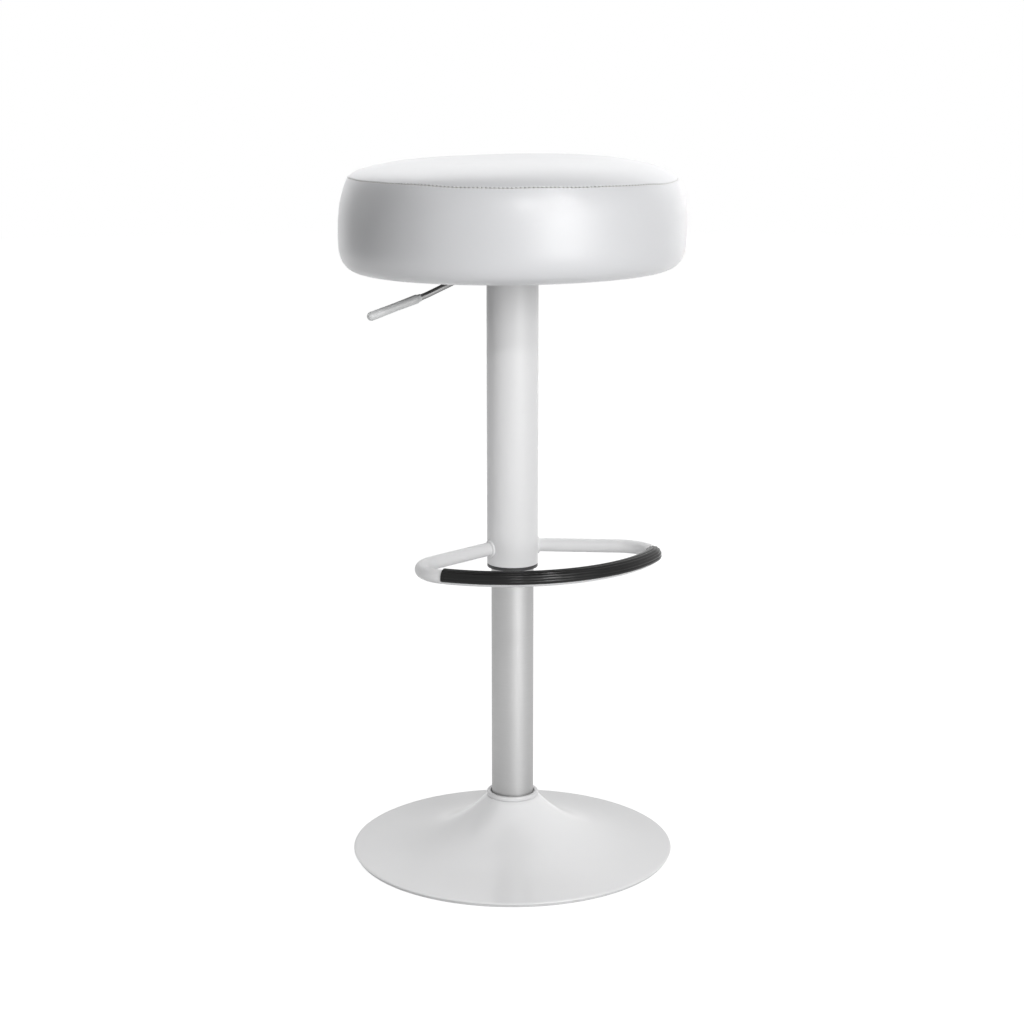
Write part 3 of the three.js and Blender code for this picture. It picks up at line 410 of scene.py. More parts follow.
def edit(piece):
    """Goes into edit mode on the piece, with nothing selected."""
    pick(piece)
    bpy.ops.object.mode_set(mode="EDIT")
    bpy.ops.mesh.select_all(action="DESELECT")


def settle(piece):
    """Applies the piece's place, turn and size to its mesh."""
    pick(piece)
    bpy.ops.object.transform_apply(location=True, rotation=True, scale=True)


def start_ring(name, radius, sides, centre=(0, 0, 0), facing=(0, 0, 1)):
    """Adds a bare ring of edges that faces a direction, and leaves it selected in edit mode."""
    turn = Vector(facing).to_track_quat("Z", "Y").to_euler()
    circle = bpy.ops.mesh.primitive_circle_add
    piece = added(circle, name, vertices=sides, radius=radius, location=centre, rotation=turn)
    piece.data.name = name
    settle(piece)
    bpy.ops.object.mode_set(mode="EDIT")
    bpy.ops.mesh.select_all(action="SELECT")
    return piece


def pull(step):
    """Extrudes what is selected along a step."""
    bpy.ops.mesh.extrude_region_move(TRANSFORM_OT_translate={"value": step})


def widen(factor, centre, axes=(True, True, False)):
    """Scales what is selected about a centre along some of the axes."""
    value = [factor if axis else 1 for axis in axes]
    bpy.ops.transform.resize(value=value, center_override=centre)


def swing(angle, centre, axis):
    """Spins what is selected round an axis by the right-hand rule."""
    steps = max(3, round(abs(angle) / math.radians(2.5)))
    bpy.ops.mesh.spin(steps=steps, angle=-angle, center=centre, axis=axis)


def close_up(cap=False):
    """Merges doubled points, closes open ends if asked, and turns the faces outwards."""
    bpy.ops.mesh.select_all(action="SELECT")
    bpy.ops.mesh.remove_doubles(threshold=0.000001)
    if cap:
        bpy.ops.mesh.select_all(action="SELECT")
        bpy.ops.mesh.fill_holes(sides=0)
        bpy.ops.mesh.select_all(action="SELECT")
    bpy.ops.mesh.normals_make_consistent(inside=False)
    bpy.ops.object.mode_set(mode="OBJECT")


def turned(name, outline, sides, closed=True):
    """Pulls a ring through an outline of (radius, height) points, which may end on the axis, at a pole."""
    (radius, height), *stops = outline
    piece = start_ring(name, radius, sides, (0, 0, height))
    for next_radius, next_height in [*stops, outline[0]] if closed else stops:
        pull((0, 0, next_height - height))
        widen(next_radius / radius, (0, 0, next_height))
        radius, height = next_radius, next_height
    close_up()
    return piece


def rounded(outline, radius, steps=4, closed=True):
    """The outline with its corners rounded off, each over at most this distance."""
    made = []
    for i, place in enumerate(outline):
        corner = Vector(place)
        if not closed and i in (0, len(outline) - 1):
            made.append(tuple(corner))
            continue
        before = Vector(outline[i - 1]) - corner
        after = Vector(outline[(i + 1) % len(outline)]) - corner
        reach = min(radius, 0.45 * before.length, 0.45 * after.length)
        start = corner + before.normalized() * reach
        end = corner + after.normalized() * reach
        for step in range(steps + 1):
            share = step / steps
            made.append(tuple(start.lerp(corner, share).lerp(corner.lerp(end, share), share)))
    return made


def beside(outline, distance):
    """An open outline moved sideways, to the left of its direction."""
    points = [Vector(place) for place in outline]
    made = []
    for i, place in enumerate(points):
        before = (place - points[i - 1]).normalized() if i else None
        after = (points[i + 1] - place).normalized() if i + 1 < len(points) else None
        first, last = before or after, after or before
        along = (first + last).normalized()
        made.append(tuple(place + Vector((-along.y, along.x)) * distance / max(along.dot(first), 0.3)))
    return made


def apply(piece, kind, **values):
    """Adds a modifier to the piece and applies it."""
    pick(piece)
    modifier = put(piece.modifiers.new(kind.title(), kind), **values)
    bpy.ops.object.modifier_apply(modifier=modifier.name)


def peg(radius, depth, place=(0, 0, 0), turn=(0, 0, 0), sides=SMALL_SIDES):
    """Adds a plain cylinder, to be carved out of a piece or added to it."""
    cylinder = bpy.ops.mesh.primitive_cylinder_add
    return added(cylinder, vertices=sides, radius=radius, depth=depth, location=place, rotation=turn)


def carve(piece, tool, operation="DIFFERENCE"):
    """Cuts the tool out of the piece, or adds it to the piece, and removes the tool."""
    apply(piece, "BOOLEAN", object=tool, operation=operation, solver="EXACT")
    bpy.data.objects.remove(tool)


def copied(piece, places):
    """Copies the piece's mesh to each of the places, and takes the first one away."""
    model = bmesh.new()
    model.from_mesh(piece.data)
    pattern = model.verts[:] + model.edges[:] + model.faces[:]
    for place in places:
        made = bmesh.ops.duplicate(model, geom=pattern)["geom"]
        verts = [item for item in made if isinstance(item, bmesh.types.BMVert)]
        bmesh.ops.transform(model, matrix=place, verts=verts)
    bmesh.ops.delete(model, geom=pattern[: len(piece.data.vertices)], context="VERTS")
    model.to_mesh(piece.data)
    model.free()


def merged(piece, *others):
    """Joins the pieces into the first one."""
    pick(piece, *others)
    bpy.ops.object.join()
    return piece


def move_points(piece, place):
    """Moves each of the piece's points to where a function puts it."""
    for vertex in piece.data.vertices:
        vertex.co = place(vertex.co)
    piece.data.update()


def deliver(piece, body, key, *nodes, slot=None, crease=35):
    """Gives a finished piece its material and its body, and hides the CAD nodes that it stands for."""
    settle(piece)
    bpy.ops.object.shade_smooth_by_angle(angle=math.radians(crease))
    piece.data.materials.clear()
    piece.data.materials.append(finish(key))
    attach(piece, body)
    if nodes:
        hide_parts(*nodes)
    return piece


def shares(count):
    """Evenly spaced shares from 0 to 1."""
    return [i / count for i in range(count + 1)]


# Base


class StoolBaseShell(bpy.types.Operator):
    """Spins the base: a flare from the neck down to a rolled rim"""

    bl_idname = "stool.base_shell"
    bl_label = "Base shell"

    def execute(self, context):
        rim, neck = BASE_HIGH.x, 0.031
        top, bottom = BASE_HIGH.z, BASE_LOW.z
        rim_top, bore, wall = bottom + 0.0022, NECK_BORE, 0.002
        flare = []
        for share in shares(64):
            radius = neck + (rim - 0.0012 - neck) * share
            fall = (rim - radius) / (rim - neck)
            flare.append((radius, rim_top + (top - rim_top) * (0.1 * fall + 0.9 * fall**3.1)))
        curl = [(rim - 0.0003, rim_top - 0.0004), (rim, rim_top - 0.0011), (rim - 0.0003, bottom + 0.0004)]
        hem = [(rim - 0.0011, bottom), (rim - 0.0145, bottom), (rim - 0.0146, bottom + 0.0016)]
        inside = [place for place in beside(flare, -wall)[1:] if bottom + 0.0020 < place[1] < top - wall]
        lip = [(neck - wall, top - wall), (bore, top - wall), (bore, top - 0.0004), (bore + 0.0004, top)]
        neck_edge = [(neck - 0.0009, top), (neck - 0.0003, top - 0.0002)]
        outline = [*neck_edge, *flare[1:], *curl, *hem, *reversed(inside), *lip]
        piece = turned("base_flare", outline, ROUND_SIDES)
        deliver(piece, "base", "gloss_paint", "base_shell", slot="white_paint")
        return {"FINISHED"}


class StoolCollar(bpy.types.Operator):
    """Turns the rounded collar that lies on the base's neck"""

    bl_idname = "stool.collar"
    bl_label = "Collar"

    def execute(self, context):
        low, high, wide = COLLAR_LOW.z, COLLAR_HIGH.z, COLLAR_HIGH.x
        outline = [(NECK_BORE, low), (wide, low), (wide, high), (NECK_BORE, high)]
        piece = turned("neck_collar", rounded(outline, 0.0019, 7), TUBE_SIDES)
        deliver(piece, "base", "white_collar", "base_collar")
        return {"FINISHED"}


class StoolEdgeRing(bpy.types.Operator):
    """Turns the rubber ring under the base's rim, with a groove in its sole"""

    bl_idname = "stool.edge_ring"
    bl_label = "Edge ring"

    def execute(self, context):
        outer, inner = EDGE_HIGH.x, EDGE_HIGH.x - 0.012
        low, high, middle = EDGE_LOW.z, EDGE_HIGH.z, EDGE_HIGH.x - 0.006
        sole = [(inner, low), (middle - 0.0015, low), (middle - 0.0008, low + 0.0008)]
        sole += [(middle + 0.0008, low + 0.0008), (middle + 0.0015, low), (outer, low)]
        outline = rounded([*sole, (outer, high), (inner, high)], 0.0006, 3)
        piece = turned("floor_ring", outline, ROUND_SIDES)
        deliver(piece, "base", "pale_rubber", "base_edge_ring")
        return {"FINISHED"}


class StoolColumn(bpy.types.Operator):
    """Turns the stand tube, the cover tube over it, and the black guide ring between them"""

    bl_idname = "stool.column"
    bl_label = "Column tubes"

    def execute(self, context):
        for name, low, high, wall, body, key, node in (
            ("stand_column", STAND_LOW, STAND_HIGH, 0.002, "base", "satin_tube", "stand_tube"),
            ("cover_column", COVER_LOW, COVER_HIGH, 0.0015, "seat_column", "white_paint", "cover_tube"),
        ):
            outer, inner = high.x, high.x - wall
            outline = [(inner, low.z), (outer, low.z), (outer, high.z), (inner, high.z)]
            deliver(turned(name, rounded(outline, 0.0007, 4), TUBE_SIDES), body, key, node)
        wide, lip_top, sole = BUSH_HIGH.x + 0.0005, BUSH_LOW.z + 0.0028, BUSH_LOW.z - 0.0010
        bore, fit = 0.0254, 0.0282
        outline = [(bore, sole), (wide, sole), (wide, lip_top), (fit, lip_top)]
        outline = rounded([*outline, (fit, BUSH_HIGH.z), (bore, BUSH_HIGH.z)], 0.0006, 5)
        piece = turned("cover_wiper", outline, TUBE_SIDES)
        deliver(piece, "seat_column", "black_plastic", "cover_guide_bush")
        return {"FINISHED"}


# Footrest. It is made about its own axis, level and pointing along X, and then turned into place.

HOOP_HEADING = math.radians(-68.5)
HOOP_TUBE = 0.008
HOOP_BOW = 0.1841
HOOP_BOW_CENTRE = Vector((-0.020, 0, 0))
HOOP_LEG_ANGLE = math.radians(63.8)
HOOP_LEG_SETBACK = 0.0105
HOOP_LEG_START = 0.020
HOOP_CORNER = 0.0418
SLEEVE_CORNER = math.radians(26)


def hoop_corner():
    """Direction, start and run of the leg to the left of the heading, and its corner's centre and angle."""
    along = Vector((math.cos(HOOP_LEG_ANGLE), math.sin(HOOP_LEG_ANGLE), 0))
    inward = Vector((along.y, -along.x, 0))
    start = -HOOP_LEG_SETBACK * inward
    rail = start + HOOP_CORNER * inward
    from_bow = rail - HOOP_BOW_CENTRE
    half = from_bow.dot(along)
    run = -half + math.sqrt(half**2 - from_bow.length_squared + (HOOP_BOW - HOOP_CORNER) ** 2)
    centre = rail + run * along
    spoke = centre - HOOP_BOW_CENTRE
    return along, start, run, centre, math.atan2(spoke.y, spoke.x)


def turn_hoop(piece):
    """Turns a piece of the footrest to its heading and lifts it to its height."""
    piece.rotation_euler.z = HOOP_HEADING
    piece.location.z = (HOOP_LOW.z + HOOP_HIGH.z) / 2
    settle(piece)


def weld_bead(side):
    """A rippled ring of weld that follows the line where a leg meets the cover tube."""
    along, start, *_ = hoop_corner()
    inward = Vector((along.y, -along.x, 0))
    piece = added(
        bpy.ops.mesh.primitive_torus_add,
        f"weld_{'left' if side > 0 else 'right'}",
        major_radius=HOOP_TUBE + 0.0004,
        minor_radius=sizes().weld_radius,
        major_segments=72,
        minor_segments=14,
        location=start,
        rotation=along.to_track_quat("Z", "Y").to_euler(),
    )
    settle(piece)

    def seat(place):
        reach = (place - start).dot(along)
        core = place - along * reach
        ripple = 1 + 0.05 * math.sin(26 * math.atan2(core.z, (core - start).dot(inward)))
        root = math.sqrt(max(COVER_HIGH.x**2 - core.xy.length_squared, 0.0))
        placed = core + along * (root + 0.0002 + reach * 1.15 * ripple)
        return Vector((placed.x, side * placed.y, placed.z))

    move_points(piece, seat)
    edit(piece)
    close_up()
    return piece


class StoolFootrest(bpy.types.Operator):
    """Bends the footrest's tube into its D and welds it to the cover tube"""

    bl_idname = "stool.footrest"
    bl_label = "Footrest bar"

    def execute(self, context):
        along, start, run, centre, bow_angle = hoop_corner()
        leg = Vector((along.x, -along.y, 0))
        first = Vector((start.x, -start.y, 0)) + leg * HOOP_LEG_START
        piece = start_ring("footrest_hoop", HOOP_TUBE, SMALL_SIDES, first, leg)
        for _ in range(4):
            pull(leg * (run - HOOP_LEG_START) / 4)
        corner_turn = math.pi / 2 + HOOP_LEG_ANGLE - bow_angle
        swing(corner_turn, (centre.x, -centre.y, 0), (0, 0, 1))
        swing(2 * bow_angle, HOOP_BOW_CENTRE, (0, 0, 1))
        swing(corner_turn, centre, (0, 0, 1))
        for _ in range(4):
            pull(-along * (run - HOOP_LEG_START) / 4)
        close_up(cap=True)
        carve(piece, peg(COVER_HIGH.x - 0.0007, 0.06, sides=TUBE_SIDES))
        welds = [weld_bead(1), weld_bead(-1)]
        for each in (piece, *welds):
            turn_hoop(each)
        deliver(piece, "seat_column", "white_paint", "footrest_bar")
        deliver(merged(*welds), "seat_column", "white_paint").name = "footrest_welds"
        return {"FINISHED"}


class StoolSleeve(bpy.types.Operator):
    """Sweeps the ribbed rubber sleeve round the footrest's bow and into its right corner, open below"""

    bl_idname = "stool.sleeve"
    bl_label = "Footrest sleeve"

    def execute(self, context):
        *_, corner, bow_angle = hoop_corner()
        ribs, height = sizes().rib_count, sizes().rib_height
        outer, inner, half = HOOP_TUBE + 0.002, HOOP_TUBE + 0.0003, math.radians(111)
        section = []
        for share in shares(ribs * 7):
            dip = 1 - abs(math.sin(math.pi * ribs * share)) ** 0.6
            section.append((outer - height * dip, half * (2 * share - 1)))
        section += [(inner + 0.0009, half + 0.05), (inner, half)]
        section += [(inner, half * (1 - 2 * share)) for share in shares(30)[1:-1]]
        section += [(inner, -half), (inner + 0.0009, -half - 0.05)]
        piece = start_ring("footrest_sleeve_rubber", inner, len(section), (0, 0, 0), (0, 1, 0))
        bpy.ops.object.mode_set(mode="OBJECT")
        spoke = Matrix.Rotation(-bow_angle, 3, "Z")
        for vertex, (radius, lean) in zip(piece.data.vertices, section, strict=True):
            upright = Vector((HOOP_BOW + radius * math.sin(lean), 0, radius * math.cos(lean)))
            vertex.co = HOOP_BOW_CENTRE + spoke @ upright
        edit(piece)
        bpy.ops.mesh.select_all(action="SELECT")
        swing(2 * bow_angle, HOOP_BOW_CENTRE, (0, 0, 1))
        swing(SLEEVE_CORNER, corner, (0, 0, 1))
        close_up(cap=True)
        turn_hoop(piece)
        deliver(piece, "seat_column", "black_rubber", "footrest_sleeve", crease=50)
        return {"FINISHED"}


# Seat plate and lever

LEVER_HEADING = math.radians(-158.5)
LEVER_HEIGHT = 0.6985
LEVER_RADIUS = 0.0035
LEVER_TIP = 0.0002
LEVER_BEND = 0.053
LEVER_DROP = math.radians(22.7)
LEVER_SHANK = 0.0574
GRIP_DROP = math.radians(17.7)
GRIP_RADIUS = 0.0052
GRIP_LENGTH = 0.067
PIVOT_REACH = 0.032


def turn_lever(piece):
    """Turns a piece of the lever from along X to its heading, at its height."""
    piece.rotation_euler.z = LEVER_HEADING
    piece.location.z = LEVER_HEIGHT
    settle(piece)


class StoolSeatPlate(bpy.types.Operator):
    """Presses the seat plate: a dish with a flange, and a slot for the lever"""

    bl_idname = "stool.seat_plate"
    bl_label = "Seat plate"

    def execute(self, context):
        low, high, wide, wall = PLATE_LOW.z, PLATE_HIGH.z, PLATE_HIGH.x, 0.002
        bore, dish, brim = 0.010, 0.038, 0.062
        under = [(bore, low), (dish, low), (brim, high - wall), (wide, high - wall)]
        under = rounded(under, 0.006, 8, closed=False)
        outline = [*under, *reversed(beside(under, wall))]
        piece = turned("pressed_seat_plate", outline, TUBE_SIDES)
        place, scale = (0.0525, 0, 0.0020), (0.026, 0.0086, 0.0168)
        slot_tool = added(bpy.ops.mesh.primitive_cube_add, size=1, location=place, scale=scale)
        turn_lever(slot_tool)
        carve(piece, slot_tool)
        bolts = 0.062
        for x, y in ((-bolts, -bolts), (-bolts, bolts), (bolts, -bolts), (bolts, bolts)):
            carve(piece, peg(0.0033, 0.01, (x, y, high)))
        deliver(piece, "seat_column", "black_steel", "seat_plate")
        return {"FINISHED"}


class StoolLever(bpy.types.Operator):
    """Bends the lever's rod and fits its grip"""

    bl_idname = "stool.lever"
    bl_label = "Lever"

    def execute(self, context):
        across, bend = (0, 1, 0), 0.005
        shank, grip = (Vector((math.cos(drop), 0, -math.sin(drop))) for drop in (LEVER_DROP, GRIP_DROP))
        elbow = Vector((LEVER_BEND, 0, 0)) + shank * LEVER_SHANK
        rod = start_ring("lever_shank", LEVER_RADIUS, SMALL_SIDES, (LEVER_TIP, 0, 0), (1, 0, 0))
        pull((LEVER_BEND - bend - LEVER_TIP, 0, 0))
        swing(LEVER_DROP, (LEVER_BEND - bend, 0, -bend / math.tan(LEVER_DROP / 2)), across)
        pull(shank * (LEVER_SHANK - 2 * bend))
        back = LEVER_DROP - GRIP_DROP
        above = Vector((math.sin(LEVER_DROP), 0, math.cos(LEVER_DROP)))
        swing(-back, elbow - shank * bend + above * bend / math.tan(back / 2), across)
        pull(grip * 0.050)
        close_up(cap=True)
        apply(rod, "BEVEL", width=0.0006, segments=3, limit_method="ANGLE", angle_limit=math.radians(60))
        pivot, sideways = (PIVOT_REACH, 0, 0), (math.pi / 2, 0, 0)
        knuckle = peg(0.0048, 0.0074, pivot, sideways)
        apply(knuckle, "BEVEL", width=0.0004, segments=2, limit_method="ANGLE")
        carve(rod, knuckle, "UNION")
        carve(rod, peg(0.0023, 0.02, pivot, sideways))
        turn_lever(rod)
        deliver(rod, "lever", "satin_lever", "lever_rod")

        neck, mouth = 0.0038, 0.0042
        turns = [share * math.pi / 2 for share in shares(9)]
        dome = [(GRIP_RADIUS * math.cos(t), GRIP_LENGTH - GRIP_RADIUS * (1 - math.sin(t))) for t in turns]
        body = [(neck, 0.0), (mouth, 0.0), (mouth, 0.0032), (GRIP_RADIUS, 0.0048)]
        body += [(GRIP_RADIUS - 0.0003, 0.030), (GRIP_RADIUS, GRIP_LENGTH - GRIP_RADIUS - 0.002)]
        outline = [(neck, 0.052), *rounded(body, 0.0009, 4, closed=False), *dome[:-1], (0, GRIP_LENGTH)]
        handle = turned("lever_handle", outline, SMALL_SIDES, closed=False)
        edit(handle)
        close_up(cap=True)
        handle.rotation_euler.y = math.pi / 2 + GRIP_DROP
        handle.location = elbow + grip * (bend + 0.001)
        settle(handle)
        turn_lever(handle)
        deliver(handle, "lever", "pale_grip", "lever_grip")
        return {"FINISHED"}


# Cushion

WIDEST_HEIGHT = BAND_HIGH.z - 0.065
BAND_BOTTOM = BAND_LOW.z
UNDER_RADIUS = BAND_HIGH.x - 0.0347
HEM_RADIUS = BAND_HIGH.x - 0.0497
HEM_HEIGHT = BAND_LOW.z + 0.0036
CLOTH_FRAMES = 20
SWELL_CAP = 0.0016
SWELL_LIFT = 0.0013


def beside_seam(up, out):
    """A point near the seam, which slopes by 30 degrees: how far up along the cushion, and how far out."""
    return (sizes().seam_radius - 0.5 * up + 0.86 * out, sizes().seam_height + 0.86 * up + 0.5 * out)


TUCK = ((0.0004, -0.0024), (0.0005, -0.0014), (0.00058, -0.0006), (0.00078, -0.00016), (0.0012, 0.0))
TUCKED = len(TUCK)


def tuck(side):
    """How a panel turns in at the seam: the top panel with side 1, and the side band with side -1."""
    return [beside_seam(side * up, out) for up, out in TUCK]


def crown_outline():
    """The top panel's outline, from inside the seam and up to the middle of the crown."""
    seam, height = sizes().seam_radius, sizes().seam_height
    rise = CROWN_HIGH.z - SWELL_LIFT - height
    spread = [0.9955, 0.993, 0.988, 0.981, 0.972, 0.96, 0.944, 0.925, 0.9, 0.87, 0.83, 0.78, 0.72, 0.65]
    spread += [0.57, 0.49, 0.41, 0.33, 0.25, 0.17, 0.10, 0.04]
    crown = [(seam * share, height + rise * (1 - share**6.31) ** (1 / 1.21)) for share in spread]
    return [*tuck(1), *crown, (0, height + rise)]


def band_outline():
    """The side band's outline, from inside the seam, out over the widest line and in under the board."""
    seam, height, wide = sizes().seam_radius, sizes().seam_height, sizes().seat_radius
    upper = []
    for share in [0.974, 0.95, 0.92, 0.88, 0.82, 0.76, 0.68, 0.58, 0.46, 0.32, 0.16]:
        radius = wide - (wide - seam) * share**2.9
        upper.append((radius, WIDEST_HEIGHT + (height - WIDEST_HEIGHT) * share))
    lower = []
    for share in shares(22):
        turn = share * math.pi / 2
        out = max(math.cos(turn), 0) ** (2 / 2.8)
        down = math.sin(turn) ** (2 / 2.8)
        radius = UNDER_RADIUS + (wide - UNDER_RADIUS) * out
        lower.append((radius, WIDEST_HEIGHT - (WIDEST_HEIGHT - BAND_BOTTOM) * down))
    hem = [(UNDER_RADIUS - 0.007, BAND_BOTTOM + 0.0012), (HEM_RADIUS, HEM_HEIGHT)]
    return [*tuck(-1), *upper, *lower, *hem]


def ease(value, start, end):
    """Rises smoothly from 0 to 1 as the value goes from start to end."""
    share = min(max((value - start) / (end - start), 0), 1)
    return share * share * (3 - 2 * share)


def seam_wave(turn):
    """How far the seam strays up or down at an angle round the seat."""
    waves = ((0.00045, 5, 0.6), (0.0003, 9, 2.1), (0.00018, 17, 0))
    return sum(height * math.sin(count * turn + start) for height, count, start in waves)


def soft_place(place):
    """Where a point of the plain cushion comes to lie in the sewn and filled one, which leans and dips."""
    turn, radius = math.atan2(place.y, place.x), place.xy.length
    upright = max(ease(place.z, BOARD_LOW.z - 0.006, WIDEST_HEIGHT), ease(radius, 0.158, 0.172))
    from_seam, outside = place.z - sizes().seam_height, ease(radius, 0.150, 0.184)
    by_seam = math.exp(-((from_seam / 0.016) ** 2)) * outside
    near_seam = math.exp(-((from_seam / 0.009) ** 2)) * outside
    bulge = noise.noise(Vector((math.cos(turn) * 1.6, math.sin(turn) * 1.6, place.z * 14))) * 0.0009
    pucker = -0.00025 * near_seam * (0.5 + 0.5 * math.sin(43 * turn + 3 * math.sin(3 * turn)))
    under = 1 - ease(place.z, BAND_BOTTOM + 0.002, BAND_BOTTOM + 0.012)
    pleat = 0.0007 * under * math.sin(30 * turn + 2 * math.sin(4 * turn)) * (1 - ease(radius, 0.158, 0.166))
    dent = 0.0012 * noise.noise(Vector((place.x * 7, place.y * 7, 3.1))) * ease(place.z, 0.815, 0.828)
    lean = place.x * (math.tan(sizes().seat_lean) * upright - math.tan(sizes().seam_dip) * by_seam)
    height = place.z + seam_wave(turn) * near_seam + lean + dent - pleat
    grown = radius + (bulge * upright + pucker) * ease(radius, 0.02, 0.15)
    if radius < 0.000001:
        return Vector((0, 0, height))
    return Vector((place.x * grown / radius, place.y * grown / radius, height))


def evened(body, moves, rounds=16):
    """The moves of a mesh's points, each averaged with those of its neighbours a few times over."""
    edges = [tuple(edge.vertices) for edge in body.data.edges]
    for _ in range(rounds):
        sums, counts = [move.copy() for move in moves], [1] * len(moves)
        for one, other in edges:
            sums[one] += moves[other]
            sums[other] += moves[one]
            counts[one] += 1
            counts[other] += 1
        moves = [total / count for total, count in zip(sums, counts, strict=True)]
    return moves


def swell(*panels):
    """Swells a plain copy of the cushion as cloth, held at seam and hem, and bends the panels with it."""
    outline = [(0.004, HEM_HEIGHT), *reversed(band_outline()[TUCKED:]), *crown_outline()[TUCKED:]]
    body = turned("cushion_body", outline, ROUND_SIDES, closed=False)
    edit(body)
    close_up(cap=True)
    move_points(body, soft_place)
    apply(body, "REMESH", mode="VOXEL", voxel_size=0.006)
    for panel in panels:
        pick(panel)
        panel.modifiers.new("Bend", "SURFACE_DEFORM").target = body
        bpy.ops.object.surfacedeform_bind(modifier="Bend")
    bpy.context.view_layer.update()
    held = body.vertex_groups.new(name="held")
    for vertex in body.data.vertices:
        place = vertex.co
        from_seam = Vector((place.xy.length - sizes().seam_radius, place.z - sizes().seam_height)).length
        grip = max(1 - ease(from_seam, 0.006, 0.022), 1 - ease(place.z, BOARD_LOW.z, WIDEST_HEIGHT - 0.008))
        held.add([vertex.index], grip, "REPLACE")
    rest = [vertex.co.copy() for vertex in body.data.vertices]
    pick(body)
    cloth = body.modifiers.new("Swell", "CLOTH")
    put(cloth.point_cache, frame_start=1, frame_end=CLOTH_FRAMES)
    put(
        cloth.settings, quality=5, mass=0.3, tension_stiffness=40, compression_stiffness=40,
        shear_stiffness=20, bending_stiffness=4, use_pressure=True, uniform_pressure_force=4,
        vertex_group_mass=held.name,
    )
    cloth.settings.effector_weights.gravity = 0
    for step in range(1, CLOTH_FRAMES + 1):
        bpy.context.scene.frame_set(step)
    bpy.ops.object.modifier_apply(modifier=cloth.name)
    moves = evened(body, [vertex.co - start for vertex, start in zip(body.data.vertices, rest, strict=True)])
    for vertex, start, move in zip(body.data.vertices, rest, moves, strict=True):
        vertex.co = start + move.normalized() * SWELL_CAP * math.tanh(move.length / SWELL_CAP)
    for panel in panels:
        pick(panel)
        bpy.ops.object.modifier_apply(modifier="Bend")
    bpy.data.objects.remove(body)
    bpy.context.scene.frame_set(1)


class StoolCushion(bpy.types.Operator):
    """Sews the cushion's top panel and side band over its foam"""

    bl_idname = "stool.cushion"
    bl_label = "Cushion"

    def execute(self, context):
        top = turned("cushion_top", crown_outline(), ROUND_SIDES, closed=False)
        band = turned("cushion_band", band_outline(), ROUND_SIDES, closed=False)
        for piece in (top, band):
            move_points(piece, soft_place)
        swell(top, band)
        for piece, node in ((top, "cushion_top_panel"), (band, "cushion_side_band")):
            apply(piece, "SOLIDIFY", thickness=sizes().cover_thickness, offset=-1, use_even_offset=False)
            deliver(piece, "seat_column", "white_leather", node, crease=80)
        inside = 0.0022
        side = beside(band_outline()[TUCKED:-1], -inside)
        crown = beside(crown_outline()[TUCKED:-1], inside)
        over, bore, under = BOARD_HIGH.z + 0.0003, BOARD_HIGH.x + 0.0003, BOARD_LOW.z - 0.0003
        recess = [(0.162, under), (bore, under), (bore, over), (0.004, over)]
        outline = [*reversed([*side, *recess]), *crown, (0.004, crown[-1][1])]
        foam = turned("foam_pad", outline, ROUND_SIDES // 2)

        def fill(place):
            in_recess = place.z < over and place.xy.length < bore
            return place if in_recess else soft_place(place)

        move_points(foam, fill)
        deliver(foam, "seat_column", "foam", "foam_core", crease=60)
        return {"FINISHED"}


class StoolStitches(bpy.types.Operator):
    """Sews the seam: one rounded stitch, copied round the seat in the seam's groove"""

    bl_idname = "stool.stitches"
    bl_label = "Seam stitches"

    def execute(self, context):
        seam, thick, pitch = sizes().seam_radius, sizes().thread_radius, sizes().stitch_pitch
        count = round(FULL_TURN * seam / pitch)
        pitch = FULL_TURN * seam / count
        run = start_ring("seam_stitches", thick * 0.3, 7, (0, -0.35 * pitch, 0), (0, 1, 0))
        for step, factor in ((0.05, 2.2), (0.10, 1.5), (0.40, 1.0), (0.10, 1 / 1.5), (0.05, 1 / 2.2)):
            pull((0, step * pitch, 0))
            middle = bmesh.from_edit_mesh(run.data)
            chosen = [vertex.co.y for vertex in middle.verts if vertex.select]
            widen(factor, (0, sum(chosen) / len(chosen), 0), (True, False, True))
        close_up(cap=True)
        radius, rise = beside_seam(0, -0.0005)
        laid = Matrix.Translation((radius, 0, rise))
        copied(run, [Matrix.Rotation(FULL_TURN * i / count, 4, "Z") @ laid for i in range(count)])
        move_points(run, soft_place)
        deliver(run, "seat_column", "thread", slot="white_leather", crease=60)
        return {"FINISHED"}


